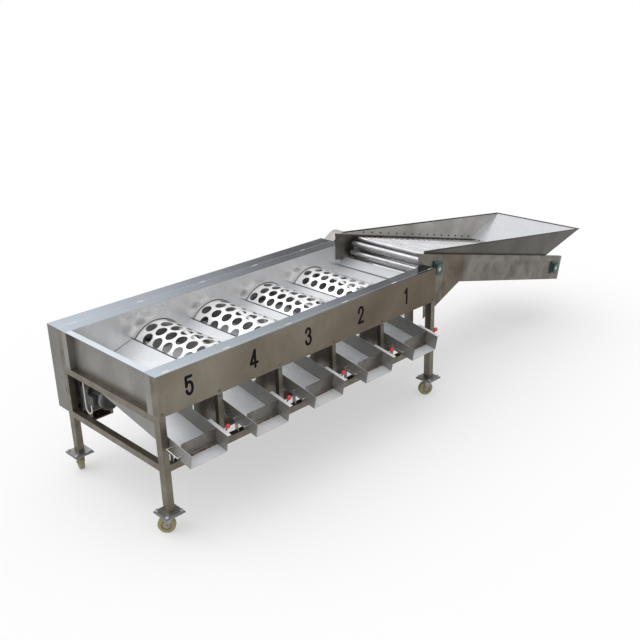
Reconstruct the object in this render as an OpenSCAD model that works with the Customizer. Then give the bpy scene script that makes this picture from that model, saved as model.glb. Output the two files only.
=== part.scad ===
// Fruit grading machine: a roller elevator with a hopper feeds four perforated drums, each drum
// drops one size of fruit onto its own chute, and the largest fruit leaves over the end chute.
// Lengths are in millimetres, +Z is up, the outlets face -Y and the hopper stands at +X.

/* [Body] */
// Length of the grading body from the outlet end to the feed end
body_l = 2280; // [2240:10:2400]
// Width over the front and rear walls
body_w = 980; // [940:10:1100]
// Height of the wall tops above the floor
lip_z = 944; // [930:1:1000]
// Width of each hollow side wall
wall_w = 100; // [92:1:110]
// Height of the front panel
panel_h = 236; // [220:1:245]
// Thickness of the stainless sheet
sheet_t = 2; // [1.5:0.1:2.5]
// Width of the flange folded from the front panel onto the wall top
panel_flange = 20; // [14:1:40]
// Height of the underside of the drive guard above the floor
guard_z = 403; // [390:1:415]
// Depth of the drive guard behind the rear wall
guard_d = 110; // [104:1:140]
// Length at the feed end where the front wall stops short below the panel
wall_notch = 112; // [100:1:125]
// Gap between the two sheets that meet on each wall top
seam_gap = 1; // [0.5:0.1:1.5]

/* [Frame] */
// Size of the leg tube along the body
leg_w = 40; // [36:1:44]
// Size of the leg tube across the body
leg_d = 50; // [44:1:56]
// Wall thickness of the tubes
tube_t = 2.5; // [2:0.1:3]
// Size of the square rails
rail_w = 40; // [36:1:42]
// Height of the underside of the lower rails above the floor
rail_z = 380; // [370:1:384]
// Size of the short square posts between panel and rail
post_w = 30; // [25:1:36]
// Gap between each post and the chute beside it
post_gap = 80; // [60:1:100]
// Lap of each post behind the panel
post_lap = 50; // [30:1:80]

/* [Casters] */
// Diameter of the wheels
wheel_d = 100; // [94:1:104]
// Width of the wheels
wheel_w = 32; // [28:1:34]
// Rounding of the tread edges
tread_r = 6; // [3:0.5:9]
// Diameter of the wheel hubs
hub_d = 36; // [30:1:44]
// Diameter of the axles
axle_d = 12; // [10:0.5:14]
// Thickness of the fork sheet
fork_t = 4; // [3:0.5:5]
// Gap between the wheel and each fork cheek
fork_gap = 2; // [1:0.5:3]
// Gap between the wheel and the fork crown
crown_gap = 8; // [6:1:10]
// Width of the fork cheeks at the crown
crown_w = 52; // [46:1:56]
// Diameter of the swivel race
race_d = 56; // [48:1:62]
// Height of the swivel race
race_h = 8; // [6:0.5:10]
// Distance of the axle behind the swivel
trail = 20; // [16:1:22]
// Diameter of the swivel pin
kingpin_d = 14; // [12:0.5:18]
// Side of the square caster plates
plate_w = 125; // [118:1:132]
// Thickness of the caster plates
plate_t = 8; // [6:0.5:10]
// Diameter of the plate bolts
bolt_d = 10; // [8:1:12]
// Distance of the plate bolts from the plate edges
bolt_inset = 16; // [14:1:20]
// Height of the bolt heads
bolt_head_h = 6; // [4:0.5:8]
// Gap of the swivel race under its plate
swivel_gap = 0.4; // [0.3:0.1:0.8]

/* [Drums] */
// Length of the body beyond its five equal bays, one for the end chute and one for each drum
bay_rest = 50; // [40:1:80]
// Distance of each drum axis from the middle of its chute
drum_off = 10; // [4:1:16]
// Height of the drum axes above the floor
drum_z = 635; // [630:1:642]
// Gap between neighbouring drums
drum_space = 36; // [32:1:46]
// Thickness of the drum shells
shell_t = 2; // [1.5:0.1:2.5]
// Gap between each drum end and the wall
drum_gap = 4; // [3:0.5:8]
// Diameter of the holes in the drum nearest the hopper
hole_d_1 = 58; // [50:2:62]
// Diameter of the holes in the second drum
hole_d_2 = 62; // [52:2:64]
// Diameter of the holes in the third drum
hole_d_3 = 70; // [60:2:76]
// Diameter of the holes in the fourth drum
hole_d_4 = 76; // [62:2:78]
// Spacing of the holes along the first two drums
hole_pitch_s = 84; // [80:1:90]
// Spacing of the holes along the last two drums
hole_pitch_l = 101; // [97:1:106]
// Least spacing of the hole columns round the first two drums
hole_step_s = 71; // [70:1:80]
// Least spacing of the hole columns round the last two drums
hole_step_l = 80; // [79:1:90]
// Least metal between the outer holes and the drum ends
hole_edge = 14; // [10:1:24]
// Gap between each drum and its wall ring
seal_gap = 2; // [1.5:0.1:3]
// Radial width of the wall rings
seal_w = 6; // [5:0.5:7]
// Depth of the wall rings
seal_h = 12; // [10:1:16]
// Gap between the deck plates and the drums
deck_gap = 11.5; // [10.5:0.5:13]
// Thickness of the deck plates
deck_t = 3; // [2:0.5:4]
// Slope of the deck plates
deck_slope = 18; // [15:1:20]
// Angle round each drum at which the plate on its outlet side begins
deck_angle = 142; // [138:1:146]
// Gap between the end chute and the outlet end of the last plate
deck_end = 6; // [4:1:24]
// Height of the feed end of the infeed plate above the drum axes
infeed_h = 160; // [150:1:165]
// Distance of the infeed plate's end from the feed end of the body
infeed_in = 30; // [25:1:40]
// Step between the infeed plate and the plate under the elevator nose
infeed_step = 10; // [8:1:14]
// Lap of the two infeed plates
infeed_lap = 20; // [14:1:30]
// Run of the plate under the elevator nose
nose_run = 92; // [70:1:100]

/* [Chutes] */
// Distance of the end chute from the outlet end of the body
tray_x = 46; // [43:1:52]
// Distance between neighbouring chutes
tray_space = 206; // [196:1:221]
// Distance the chutes stand out in front of the panel
tray_out = 172; // [160:1:190]
// Height of the chute floors at their front edge
tray_z = 464; // [458:1:470]
// Gap between the drum shells and the wings at the rear ends of the chutes
wing_clear = 3; // [2.5:0.5:6]
// Gap between the rear ends of the chutes and the rear wall
tray_back = 40; // [22:1:92]
// Height of the left chute walls
tray_lh = 83; // [78:1:88]
// Height of the right chute walls
tray_rh = 101; // [96:1:108]
// Width of the flange on the right chute walls
tray_flange = 22; // [16:1:25]
// Width of the wings inside the drums
wing_w = 18; // [14:1:20]
// Rise of the wings inside the drums
wing_rise = 8; // [4:1:10]
// Gap between the wings and the front wall
wing_gap = 8; // [6:1:14]
// Clearance of the chutes in the wall openings
mouth_gap = 3; // [2:0.5:5]
// Height of the wall openings
mouth_h = 160; // [150:1:170]
// Thickness of the chute brackets
bracket_t = 5; // [4:0.5:8]
// Width of the chute brackets
bracket_w = 25; // [20:1:32]
// Distance of the chute brackets from the chute sides
bracket_in = 20; // [12:1:40]
// Gap between the end chute's tall walls and the last deck plate
end_wall_gap = 6; // [4:1:10]

/* [Gates] */
// Distance of the gate rods behind the chute fronts
gate_y = 92; // [86:1:100]
// Diameter of the gate rods and levers
rod_d = 10; // [8:0.5:11]
// Running clearance of the gate rods
rod_fit = 0.08; // [0.05:0.01:0.1]
// Gap between the gate rods and the chute floor
rod_gap = 1.5; // [1:0.1:2.5]
// Height of the gate plates above their rods
gate_h = 92; // [80:1:94]
// Gap between the gates and the chute walls
gate_gap = 2; // [1.5:0.1:3]
// Corner radius of the gates
gate_r = 20; // [12:1:28]
// Overhang of the gate rods beyond the left walls
rod_out = 14; // [10:1:20]
// Distance of the levers from the right walls
lever_out = 42; // [40:1:50]
// Length of the levers
lever_l = 112; // [100:1:118]
// Lean of the levers ahead of the gates
lever_lean = 19; // [14:1:24]
// Diameter of the ball knobs
knob_d = 28; // [24:1:30]
// Depth of the levers in the knobs
knob_in = 16; // [12:1:18]
// Clearance of the levers in the knobs
knob_fit = 0.05; // [0.03:0.01:0.08]
// Diameter of the wire loops on the left walls
loop_d = 7; // [6:0.5:8]
// Length of the wire loops
loop_l = 92; // [80:1:96]
// Distance the wire loops stand out
loop_out = 36; // [30:1:38]
// Distance of the wire loops behind the chute fronts
loop_y = 66; // [56:1:72]
// Height of the wire loops above the chute underside
loop_z = 46; // [40:1:52]

/* [Drive] */
// Diameter of the drum shafts
shaft_d = 30; // [28:1:32]
// Running clearance of the shafts in their bearings
shaft_fit = 0.08; // [0.05:0.01:0.1]
// Gap between the shafts and the sheets they pass
shaft_gap = 6; // [4:1:8]
// Thickness of the drum end discs
disc_t = 6; // [4:0.5:8]
// Inset of the drum end discs
disc_in = 6; // [4:1:12]
// Gap between the end discs and the shells
disc_fit = 0.05; // [0.03:0.01:0.08]
// Diameter of the openings in the end discs
disc_hole_d = 84; // [70:1:92]
// Diameter of the disc hubs
boss_d = 70; // [60:1:80]
// Length of the disc hubs
boss_l = 30; // [24:1:36]
// Side of the flange bearings
bearing_w = 100; // [92:1:108]
// Thickness of the bearing flanges
bearing_t = 12; // [10:1:14]
// Diameter of the bearing housings
bearing_d = 74; // [66:1:80]
// Height of the bearings
bearing_h = 28; // [24:1:32]
// Distance of the main chain behind the rear wall
lane_a = 22; // [18:1:26]
// Distance of the motor and feed chains behind the rear wall
lane_b = 62; // [56:1:70]
// Thickness of the sprockets
sprocket_t = 9; // [7:0.5:11]
// Width of the chains
chain_w = 14; // [12:0.5:16]
// Height of the chain section
chain_h = 12; // [9:0.5:14]
// Gap between the chains and the sprocket teeth
chain_gap = 0.6; // [0.4:0.1:1]
// Step by which a straight run is slimmer than the arcs, on each side
run_step = 0.3; // [0.2:0.1:0.5]
// Tip radius of the main sprockets
main_r = 60; // [54:1:66]
// Tip radius of the motor sprocket
motor_r = 40; // [36:1:44]
// Tip radius of the motor-driven drum sprocket
driven_r = 80; // [72:1:86]
// Tip radius of the sprocket that drives the elevator
feed_r = 50; // [45:1:54]
// Tip radius of the elevator head sprocket
head_r = 70; // [62:1:72]
// Height of the sprocket teeth
tooth_h = 6; // [5:0.5:7]
// Spacing of the sprocket teeth
tooth_pitch = 16; // [14:0.5:19]
// Radius of the elevator chain cover
cover_r = 95; // [92:1:100]
// Gap between the elevator chain cover and the rear wall plane
cover_gap = 10; // [8:1:16]
// Distance of the motor axis from the outlet end
motor_x = 112; // [108:1:118]
// Height of the motor axis above the floor
motor_z = 540; // [534:1:546]
// Diameter of the motor
motor_d = 120; // [110:1:124]
// Length of the motor body
motor_l = 95; // [85:1:110]
// Height of the cooling fins
fin_h = 6; // [4:0.5:8]
// Thickness of the cooling fins
fin_t = 3; // [2.5:0.5:4]
// Number of the cooling fins
fin_n = 28; // [24:2:32]
// Length of the fan cover
fan_l = 45; // [38:1:52]
// Rounding of the fan cover
fan_r = 14; // [10:1:18]
// Length of the gearbox
gear_l = 80; // [72:1:88]
// Width of the gearbox
gear_w = 130; // [124:1:136]
// Chamfer of the gearbox
gear_c = 18; // [12:1:24]
// Diameter of the motor output shaft
out_d = 25; // [22:1:28]
// Thickness of the motor mount plate
mount_t = 6; // [5:0.5:8]
// Overhang of the mount plate beside the gearbox
mount_side = 18; // [12:1:22]
// Side of the terminal box
term_w = 60; // [50:1:66]
// Depth of the terminal box
term_d = 34; // [28:1:38]
// Diameter of the motor cable
cable_d = 8; // [6:0.5:8]
// Radius of the cable loop
cable_r = 32; // [28:1:36]

/* [Feed elevator] */
// Distance of the head shaft past the feed end of the body
head_x = 140; // [136:1:150]
// Height of the head shaft above the floor
head_z = 884; // [880:1:892]
// Slope of the elevator
feed_slope = 14; // [12:0.5:14.5]
// Spacing of the rollers and pitch radius of the chain wheels
roller_pitch = 68; // [66:1:70]
// Number of roller spaces between head and tail shafts
roller_n = 24; // [20:1:24]
// Diameter of the rollers
roller_d = 38; // [34:1:42]
// Wall of the roller tubes
roller_wall = 3; // [2.5:0.5:4]
// Height of the side plates
side_h = 196; // [194:1:210]
// Thickness of the side plates
side_t = 4; // [3:0.5:5]
// Width of the side plate flanges
side_flange = 26; // [22:1:30]
// Length of the side plates past the head shaft
side_lead = 234; // [225:1:240]
// Length of the side plates past the tail shaft
side_tail = 104; // [95:1:120]
// Width of the roller chains
link_w = 10; // [8:0.5:12]
// Height of the roller chains
link_h = 18; // [14:1:20]
// Diameter of the chain rolls at the roller ends
roll_d = 34; // [30:1:36]
// Gap between the roller chains and the side plate flanges
link_gap = 3; // [2:0.5:5]
// Gap between the chain wheels and the roller chains
wheel_gap = 0.6; // [0.4:0.1:1]
// Diameter of the elevator shafts
feed_shaft_d = 30; // [26:1:32]
// Diameter of the cross ties
tie_d = 42; // [36:1:48]
// Length of the gussets along the side plates
gusset_l = 420; // [380:1:440]
// Height of the gussets' lower tip above the floor
gusset_z = 549; // [530:1:600]

/* [Hopper] */
// Distance from the head shaft to the near end of the hopper walls
hopper_in = 150; // [140:1:160]
// Height of the hopper walls at their near end
hopper_h0 = 14; // [10:1:24]
// Distance from the head shaft to the foot of the end wall
hopper_foot = 1508; // [1480:1:1540]
// Run of the end wall along the elevator
hopper_run = 394; // [360:1:420]
// Height of the hopper at its far end above the side plates
hopper_h = 236; // [220:1:250]
// Outward lean of the hopper side walls
hopper_lean = 9; // [6:1:10]
// Inset of the hopper walls on the side plates
hopper_inset = 20; // [16:1:22]
// Gap between the end wall's edges and the side walls
weld_gap = 0.4; // [0.3:0.1:0.8]

/* [Hidden] */
$fn = 72;
drum_n = 4;
caster_turn = [135, 73, 150, 120];

drum_pitch = (body_l - bay_rest) / (drum_n + 1);
drum_d = drum_pitch - drum_space;
drum_r = drum_d / 2;
trough_y0 = wall_w;
trough_y1 = body_w - wall_w;
panel_z = lip_z - panel_h;
crown_z = wheel_d + crown_gap;
race_z = crown_z + fork_t;
plate_z = race_z + race_h + swivel_gap;
leg_z = plate_z + plate_t;
rail_top = rail_z + rail_w;
frame_y0 = sheet_t;
frame_y1 = body_w - sheet_t;
cross_y0 = frame_y0 + leg_d;
cross_y1 = frame_y1 - leg_d;
leg_x = [leg_w / 2, body_l - leg_w / 2];
leg_y = [frame_y0 + leg_d / 2, frame_y1 - leg_d / 2];
drum_y0 = trough_y0 + drum_gap;
drum_y1 = trough_y1 - drum_gap;
drum_len = drum_y1 - drum_y0;
drum_mid = (drum_y0 + drum_y1) / 2;
hole_ds = [hole_d_4, hole_d_3, hole_d_2, hole_d_1];
hole_pitches = [hole_pitch_l, hole_pitch_l, hole_pitch_s, hole_pitch_s];
hole_steps = [hole_step_l, hole_step_l, hole_step_s, hole_step_s];
hole_turns = [109, 116, 129, 108];
tray_w = drum_pitch - tray_space;
tray_front = -tray_out;
tray_run = trough_y1 - tray_back - tray_front;
wing_x = tray_w / 2 + drum_off + wing_w;
wing_z = sqrt((drum_r - shell_t - wing_clear) ^ 2 - wing_x ^ 2);
tray_slope = atan((drum_z + wing_z - wing_rise - tray_rh - tray_z) / tray_run);
tray_l = tray_run / cos(tray_slope);
deck_x0 = tray_x + tray_w + deck_end;
gate_z = sheet_t + rod_gap + rod_d / 2;
lane_a_y = body_w + lane_a;
lane_b_y = body_w + lane_b;
head_px = body_l + head_x;
feed_c = roller_n * roller_pitch;
side_top = side_h / 2;
link_y0 = trough_y0 + side_flange + link_gap;
link_y1 = trough_y1 - side_flange - link_gap;
wheel_tip = roller_pitch - roll_d / 2 - wheel_gap;
gear_y = trough_y1 - gear_l;
motor_y = gear_y - motor_l;
term_x = motor_x - motor_d / 2 + 2 * fin_h - term_d;
hopper_end_x = hopper_foot + hopper_run;
hopper_top = side_top + hopper_h;
hopper_tilt = atan(hopper_h / hopper_run);
rim_x = hopper_end_x + sheet_t * sin(hopper_tilt);
rim_z = hopper_top - sheet_t * cos(hopper_tilt);

box_x0 = leg_x[0] - plate_w / 2;
box_x1 = head_px + rim_x * cos(feed_slope) + rim_z * sin(feed_slope);
box_y0 = tray_front - tray_rh * sin(tray_slope);
box_y1 = body_w + guard_d;

function drum_cx(k) = tray_cx(k + 1) + tray_w / 2 - drum_off;
function tray_cx(k) = tray_x + k * drum_pitch;
function tray_bottom(y) = tray_z + (y - tray_front) * tan(tray_slope);
function ring(r, a) = [r * cos(a), r * sin(a)];
function teeth(r) = round(2 * PI * r / tooth_pitch);
function run_to(p, c, r) =
  let(q = p - c, d = [cos(deck_slope), sin(deck_slope)], b = q * d)
  p - d * (b - sqrt(b * b - q * q + r * r));

module place() {
  translate([-(box_x0 + box_x1) / 2, -(box_y0 + box_y1) / 2, 0]) children();
}

module along_x(x0, x1) {
  translate([x0, 0, 0]) rotate([90, 0, 90]) linear_extrude(height = x1 - x0) children();
}

module along_y(y0, y1) {
  translate([0, y1, 0]) rotate([90, 0, 0]) linear_extrude(height = y1 - y0) children();
}

module rod_x(d, x0, x1) {
  translate([x0, 0, 0]) rotate([0, 90, 0]) cylinder(d = d, h = x1 - x0);
}

module rod_y(d, y0, y1) {
  translate([0, y1, 0]) rotate([90, 0, 0]) cylinder(d = d, h = y1 - y0);
}

module rect(x0, y0, x1, y1) {
  translate([x0, y0]) square([x1 - x0, y1 - y0]);
}

module tube_2d(x0, y0, x1, y1) {
  difference() {
    rect(x0, y0, x1, y1);
    rect(x0 + tube_t, y0 + tube_t, x1 - tube_t, y1 - tube_t);
  }
}

// Outline of a belt laid round two circles
module belt_2d(p, r, q, s) {
  d = norm(q - p);
  a = atan2(q[1] - p[1], q[0] - p[0]);
  t = acos((r - s) / d);
  translate(p) circle(r = r);
  translate(q) circle(r = s);
  polygon([p + ring(r, a + t), p + ring(r, a - t), q + ring(s, a - t), q + ring(s, a + t)]);
}

module sprocket_2d(r, n) {
  step = 360 / n;
  flank_share = 0.22;
  tip_share = 0.3;
  polygon([
    for (i = [0 : n - 1])
      for (j = [0 : 3])
        ring(
          j == 1 || j == 2 ? r : r - tooth_h,
          step * (i + [0, flank_share, flank_share + tip_share, 2 * flank_share + tip_share][j])
        )
  ]);
}

module mirror_y() {
  children();
  translate([0, body_w, 0]) mirror([0, 1, 0]) children();
}

module caster_at(i, j) {
  translate([leg_x[i], leg_y[j], 0]) children();
}

module chute_at(k) {
  translate([tray_cx(k), tray_front, tray_z]) rotate([tray_slope, 0, 0]) children();
}

module drum_at(k) {
  translate([drum_cx(k), 0, drum_z]) children();
}

module elevator() {
  translate([head_px, 0, head_z]) rotate([0, feed_slope, 0]) children();
}

module legs() {
  color("silver")
    mirror_y()
      for (x = leg_x)
        translate([x, frame_y0, leg_z]) linear_extrude(height = lip_z - sheet_t - leg_z)
          tube_2d(-leg_w / 2, 0, leg_w / 2, leg_d);
}

module plate_corners() {
  c = plate_w / 2 - bolt_inset;
  for (x = [-c, c])
    for (y = [-c, c])
      translate([x, y, 0]) children();
}

module caster_plates() {
  head_share = 1.8;
  color("silver")
    for (i = [0, 1])
      for (j = [0, 1])
        caster_at(i, j) {
          translate([0, 0, plate_z]) linear_extrude(height = plate_t)
            difference() {
              square(plate_w, center = true);
              circle(d = kingpin_d + 2 * shaft_fit);
            }
          plate_corners() translate([0, 0, plate_z + plate_t / 2])
            cylinder(d = bolt_d * head_share, h = plate_t / 2 + bolt_head_h, $fn = 6);
        }
}

module long_rails() {
  color("silver")
    mirror_y()
      along_x(leg_w, body_l - leg_w) tube_2d(frame_y0, rail_z, frame_y0 + rail_w, rail_top);
}

module cross_rails() {
  color("silver")
    for (x = [0, body_l - leg_w])
      for (z = [rail_z, panel_z - rail_w])
        along_y(cross_y0, cross_y1) tube_2d(x, z, x + leg_w, z + rail_w);
}

module tray_posts() {
  color("silver")
    for (k = [1 : drum_n])
      translate([tray_cx(k) - post_gap - post_w, frame_y0, rail_top])
        linear_extrude(height = panel_z + post_lap - rail_top) tube_2d(0, 0, post_w, post_w);
}

module front_panel() {
  color("tan")
    along_x(0, body_l) {
      rect(0, panel_z, sheet_t, lip_z);
      rect(0, lip_z - sheet_t, panel_flange, lip_z);
    }
}

module shaft_hole(d) {
  circle(d = d + 2 * shaft_gap);
}

module rear_panel() {
  color("lightgray")
    along_y(frame_y1, body_w)
      difference() {
        rect(0, guard_z, body_l, lip_z - sheet_t);
        for (k = [0 : drum_n - 1]) translate([drum_cx(k), drum_z]) shaft_hole(shaft_d);
        translate([motor_x, motor_z]) shaft_hole(out_d);
      }
}

module mouths_2d() {
  for (k = [0 : drum_n]) {
    z = tray_bottom(trough_y0) - mouth_gap - sheet_t;
    rect(tray_cx(k) - mouth_gap, z, tray_cx(k) + tray_w + mouth_gap, z + mouth_h);
  }
}

module wall_2d(x1) {
  rect(sheet_t, panel_z, body_l - sheet_t, lip_z);
  rect(leg_w, rail_top, x1, panel_z);
}

module front_inner_wall() {
  color("gainsboro") {
    along_y(trough_y0 - sheet_t, trough_y0)
      difference() {
        wall_2d(body_l - wall_notch);
        mouths_2d();
      }
    along_x(0, body_l) rect(panel_flange + seam_gap, lip_z - sheet_t, trough_y0, lip_z);
  }
}

module rear_inner_wall() {
  color("gainsboro") {
    along_y(trough_y1, trough_y1 + sheet_t)
      difference() {
        wall_2d(body_l - wall_notch);
        for (k = [0 : drum_n - 1]) translate([drum_cx(k), drum_z]) shaft_hole(shaft_d);
        translate([motor_x, motor_z]) shaft_hole(out_d);
      }
    along_x(0, body_l) rect(trough_y1, lip_z - sheet_t, body_w - seam_gap, lip_z);
  }
}

module end_panels() {
  color("silver") {
    translate([0, 0, panel_z]) linear_extrude(height = panel_h - sheet_t) {
      rect(leg_w - sheet_t, trough_y0, leg_w, trough_y1);
      rect(0, trough_y0, leg_w, trough_y0 + sheet_t);
      rect(0, trough_y1 - sheet_t, leg_w, trough_y1);
      rect(0, cross_y0, sheet_t, trough_y0 + sheet_t);
      rect(0, trough_y1 - sheet_t, sheet_t, cross_y1);
    }
    translate([0, trough_y0, lip_z - sheet_t]) cube([leg_w, trough_y1 - trough_y0, sheet_t]);
    for (y = [[cross_y0, trough_y0], [trough_y1, cross_y1]])
      translate([body_l - sheet_t, y[0], panel_z])
        cube([sheet_t, y[1] - y[0], panel_h - sheet_t]);
  }
}

// Plate drawn from its upper end down to its lower end, with its thickness below that line
module slope_2d(p, q, t) {
  n = [sin(deck_slope), -cos(deck_slope)] * t;
  polygon([p, q, q + n, p + n]);
}

module deck_plates() {
  r = drum_r + deck_gap;
  infeed_p = [body_l - infeed_in, drum_z + infeed_h];
  nose_p = infeed_p + [-infeed_lap, infeed_step - infeed_lap * tan(deck_slope)];
  color("aliceblue") {
    along_y(trough_y0, trough_y1) {
      for (k = [0 : drum_n - 1]) {
        c = [drum_cx(k), drum_z];
        p = c + ring(r, deck_angle);
        end_q = p - [p[0] - deck_x0, (p[0] - deck_x0) * tan(deck_slope)];
        slope_2d(p, k == 0 ? end_q : run_to(p, c - [drum_pitch, 0], r), deck_t);
      }
      slope_2d(infeed_p, run_to(infeed_p, [drum_cx(drum_n - 1), drum_z], r), deck_t);
    }
    along_y(trough_y0 + side_t, trough_y1 - side_t)
      slope_2d(nose_p + [nose_run, nose_run * tan(deck_slope)], nose_p, deck_t);
  }
}

module drive_guard() {
  color("lightgray")
    difference() {
      translate([0, body_w, guard_z]) cube([body_l, guard_d, lip_z - guard_z]);
      translate([sheet_t, body_w - sheet_t, guard_z + sheet_t])
        cube([body_l - 2 * sheet_t, guard_d, lip_z - guard_z - 2 * sheet_t]);
      along_y(body_w + cover_gap + sheet_t, box_y1 - sheet_t)
        intersection() {
          feed_cover_2d(sheet_t);
          rect(body_l - 2 * sheet_t, guard_z, body_l + sheet_t, lip_z - sheet_t);
        }
    }
}

module feed_cover_2d(inset) {
  p = [drum_cx(drum_n - 1), drum_z];
  q = [head_px, head_z];
  belt_2d(p, feed_r + cover_r - head_r - inset, q, cover_r - inset);
}

module feed_chain_cover() {
  color("white")
    difference() {
      along_y(body_w + cover_gap, box_y1)
        difference() {
          feed_cover_2d(0);
          rect(0, 0, body_l, 2 * lip_z);
        }
      along_y(body_w + cover_gap + sheet_t, box_y1 - sheet_t)
        difference() {
          feed_cover_2d(sheet_t);
          rect(0, 0, body_l - sheet_t, 2 * lip_z);
        }
      translate([head_px, 0, head_z])
        rod_y(feed_shaft_d + 2 * shaft_gap, body_w, body_w + cover_gap + 2 * sheet_t);
    }
}

// Side view of a chute wall whose rear part may rise upright, inside the front wall, to a level top
module chute_wall(h, level) {
  in_y = trough_y0 + drum_gap + tray_out;
  rise = level - tray_z;
  top = [in_y * cos(tray_slope) + rise * sin(tray_slope), rise * cos(tray_slope) - in_y * sin(tray_slope)];
  polygon(
    level == 0
      ? [[0, 0], [tray_l, 0], [tray_l, h], [0, h]]
      : [
          [0, 0], [tray_l, 0], [tray_l, rise / cos(tray_slope) - tray_l * tan(tray_slope)], top,
          [behind_wall(h), h], [0, h]
        ]
  );
}

// Distance along a chute at which a point that far above its floor clears the front wall
function behind_wall(h) = (trough_y0 + drum_gap + tray_out + h * sin(tray_slope)) / cos(tray_slope);

function deck_under(x) =
  let(p = [drum_cx(0), drum_z] + ring(drum_r + deck_gap, deck_angle))
  p[1] - (p[0] - x) * tan(deck_slope) - deck_t / cos(deck_slope) - end_wall_gap;

module chute(k) {
  outer_l = (tray_out - sheet_t) / cos(tray_slope);
  wing_y = behind_wall(tray_rh + wing_rise) + wing_gap;
  difference() {
    union() {
      cube([tray_w, tray_l, sheet_t]);
      translate([0, tray_l - sheet_t, 0]) cube([tray_w, sheet_t, tray_lh]);
      along_x(0, sheet_t) chute_wall(tray_lh, k > 0 ? 0 : deck_under(deck_x0));
      along_x(tray_w - sheet_t, tray_w)
        chute_wall(tray_rh, k > 0 ? 0 : deck_under(deck_x0));
      translate([tray_w - sheet_t, 0, tray_rh - sheet_t])
        cube([tray_flange + sheet_t, outer_l, sheet_t]);
      if (k > 0)
        along_y(wing_y, tray_l)
          for (s = [0, 1])
            translate([s * tray_w, s == 0 ? tray_lh : tray_rh]) mirror([1 - s, 0])
              polygon([
                [-sheet_t, -sheet_t], [0, -sheet_t], [wing_w, wing_rise - sheet_t],
                [wing_w, wing_rise], [-sheet_t, 0]
              ]);
    }
    translate([0, gate_y, gate_z])
      rod_x(rod_d + 2 * rod_fit, -sheet_t, tray_w + sheet_t);
  }
}

module chutes() {
  color("whitesmoke")
    for (k = [0 : drum_n]) chute_at(k) chute(k);
}

module chute_brackets() {
  y0 = frame_y0 + (rail_w - bracket_w) / 2;
  y1 = y0 + bracket_w;
  color("dimgray")
    for (k = [0 : drum_n])
      for (x = [bracket_in, tray_w - bracket_in - bracket_t])
        along_x(tray_cx(k) + x, tray_cx(k) + x + bracket_t)
          polygon([[y0, rail_top], [y1, rail_top], [y1, tray_bottom(y1)], [y0, tray_bottom(y0)]]);
}

module chute_loops() {
  color("silver")
    for (k = [0 : drum_n])
      chute_at(k) translate([0, loop_y, loop_z]) {
        for (y = [0, loop_l])
          translate([0, y, 0]) {
            rod_x(loop_d, -loop_out, 0);
            translate([-loop_out, 0, 0]) sphere(d = loop_d);
          }
        translate([-loop_out, 0, 0]) rod_y(loop_d, 0, loop_l);
      }
}

module gate_2d() {
  x0 = sheet_t + gate_gap;
  x1 = tray_w - sheet_t - gate_gap;
  difference() {
    rect(x0, 0, x1, gate_h);
    for (s = [[x0, 1], [x1, -1]])
      translate([s[0], gate_h]) difference() {
        rect(-gate_r, -gate_r, gate_r, gate_r);
        translate([s[1] * gate_r, -gate_r]) circle(r = gate_r);
        rect(-gate_r, -2 * gate_r, gate_r, -gate_r);
        translate([s[1] * gate_r, 0]) square([2 * gate_r, 4 * gate_r], center = true);
      }
  }
}

module gate_at(k) {
  chute_at(k) translate([0, gate_y, gate_z]) children();
}

module lever_at() {
  translate([tray_w + lever_out, 0, 0]) rotate([lever_lean, 0, 0]) children();
}

module gate(k) {
  color("lightsteelblue")
    gate_at(k) {
      rod_x(rod_d, -rod_out, tray_w + lever_out);
      along_y(-sheet_t / 2, sheet_t / 2) gate_2d();
      lever_at() {
        sphere(d = rod_d);
        cylinder(d = rod_d, h = lever_l - knob_d / 2 + knob_in);
      }
    }
}

module knob(k) {
  color("red")
    gate_at(k) lever_at() difference() {
      translate([0, 0, lever_l]) sphere(d = knob_d);
      cylinder(d = rod_d + 2 * knob_fit, h = lever_l - knob_d / 2 + knob_in);
    }
}

module drum_shell(k) {
  d = hole_ds[k];
  p = hole_pitches[k];
  n = 2 * floor(PI * drum_d / (2 * hole_steps[k]));
  m = floor((drum_len - 2 * hole_edge - d) / (p / 2)) + 1;
  drop = drum_r - sqrt(drum_r * drum_r - d * d / 4);
  depth = drop + 2 * shell_t;
  color("whitesmoke")
    drum_at(k) rotate([0, 180 / n - hole_turns[k], 0]) difference() {
      along_y(drum_y0, drum_y1) difference() {
        circle(r = drum_r);
        circle(r = drum_r - shell_t);
      }
      for (c = [0 : n - 1])
        for (j = [c % 2 : 2 : m - 1])
          translate([0, drum_mid - (j - (m - 1) / 2) * p / 2, 0])
            rotate([0, 90 - (2 * c + 1) * 180 / n, 0])
              translate([0, 0, drum_r - depth])
                cylinder(d = d, h = depth + shell_t);
    }
}

module sprocket(r, y) {
  along_y(y - sprocket_t / 2, y + sprocket_t / 2) sprocket_2d(r, teeth(r));
}

module drum_drive(k) {
  disc_y = drum_y1 - disc_in;
  hole_n = 5;
  color("gray")
    drum_at(k) {
      along_y(disc_y - disc_t, disc_y)
        difference() {
          circle(r = drum_r - shell_t - disc_fit);
          for (i = [0 : hole_n - 1])
            translate(ring((drum_r + boss_d / 2) / 2, i * 360 / hole_n)) circle(d = disc_hole_d);
        }
      rod_y(boss_d, disc_y - boss_l, disc_y);
      rod_y(shaft_d, disc_y - boss_l, lane_b_y + chain_w);
      sprocket(main_r, lane_a_y);
      if (k == 0) sprocket(driven_r, lane_b_y);
      if (k == drum_n - 1) sprocket(feed_r, lane_b_y);
    }
}

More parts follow.
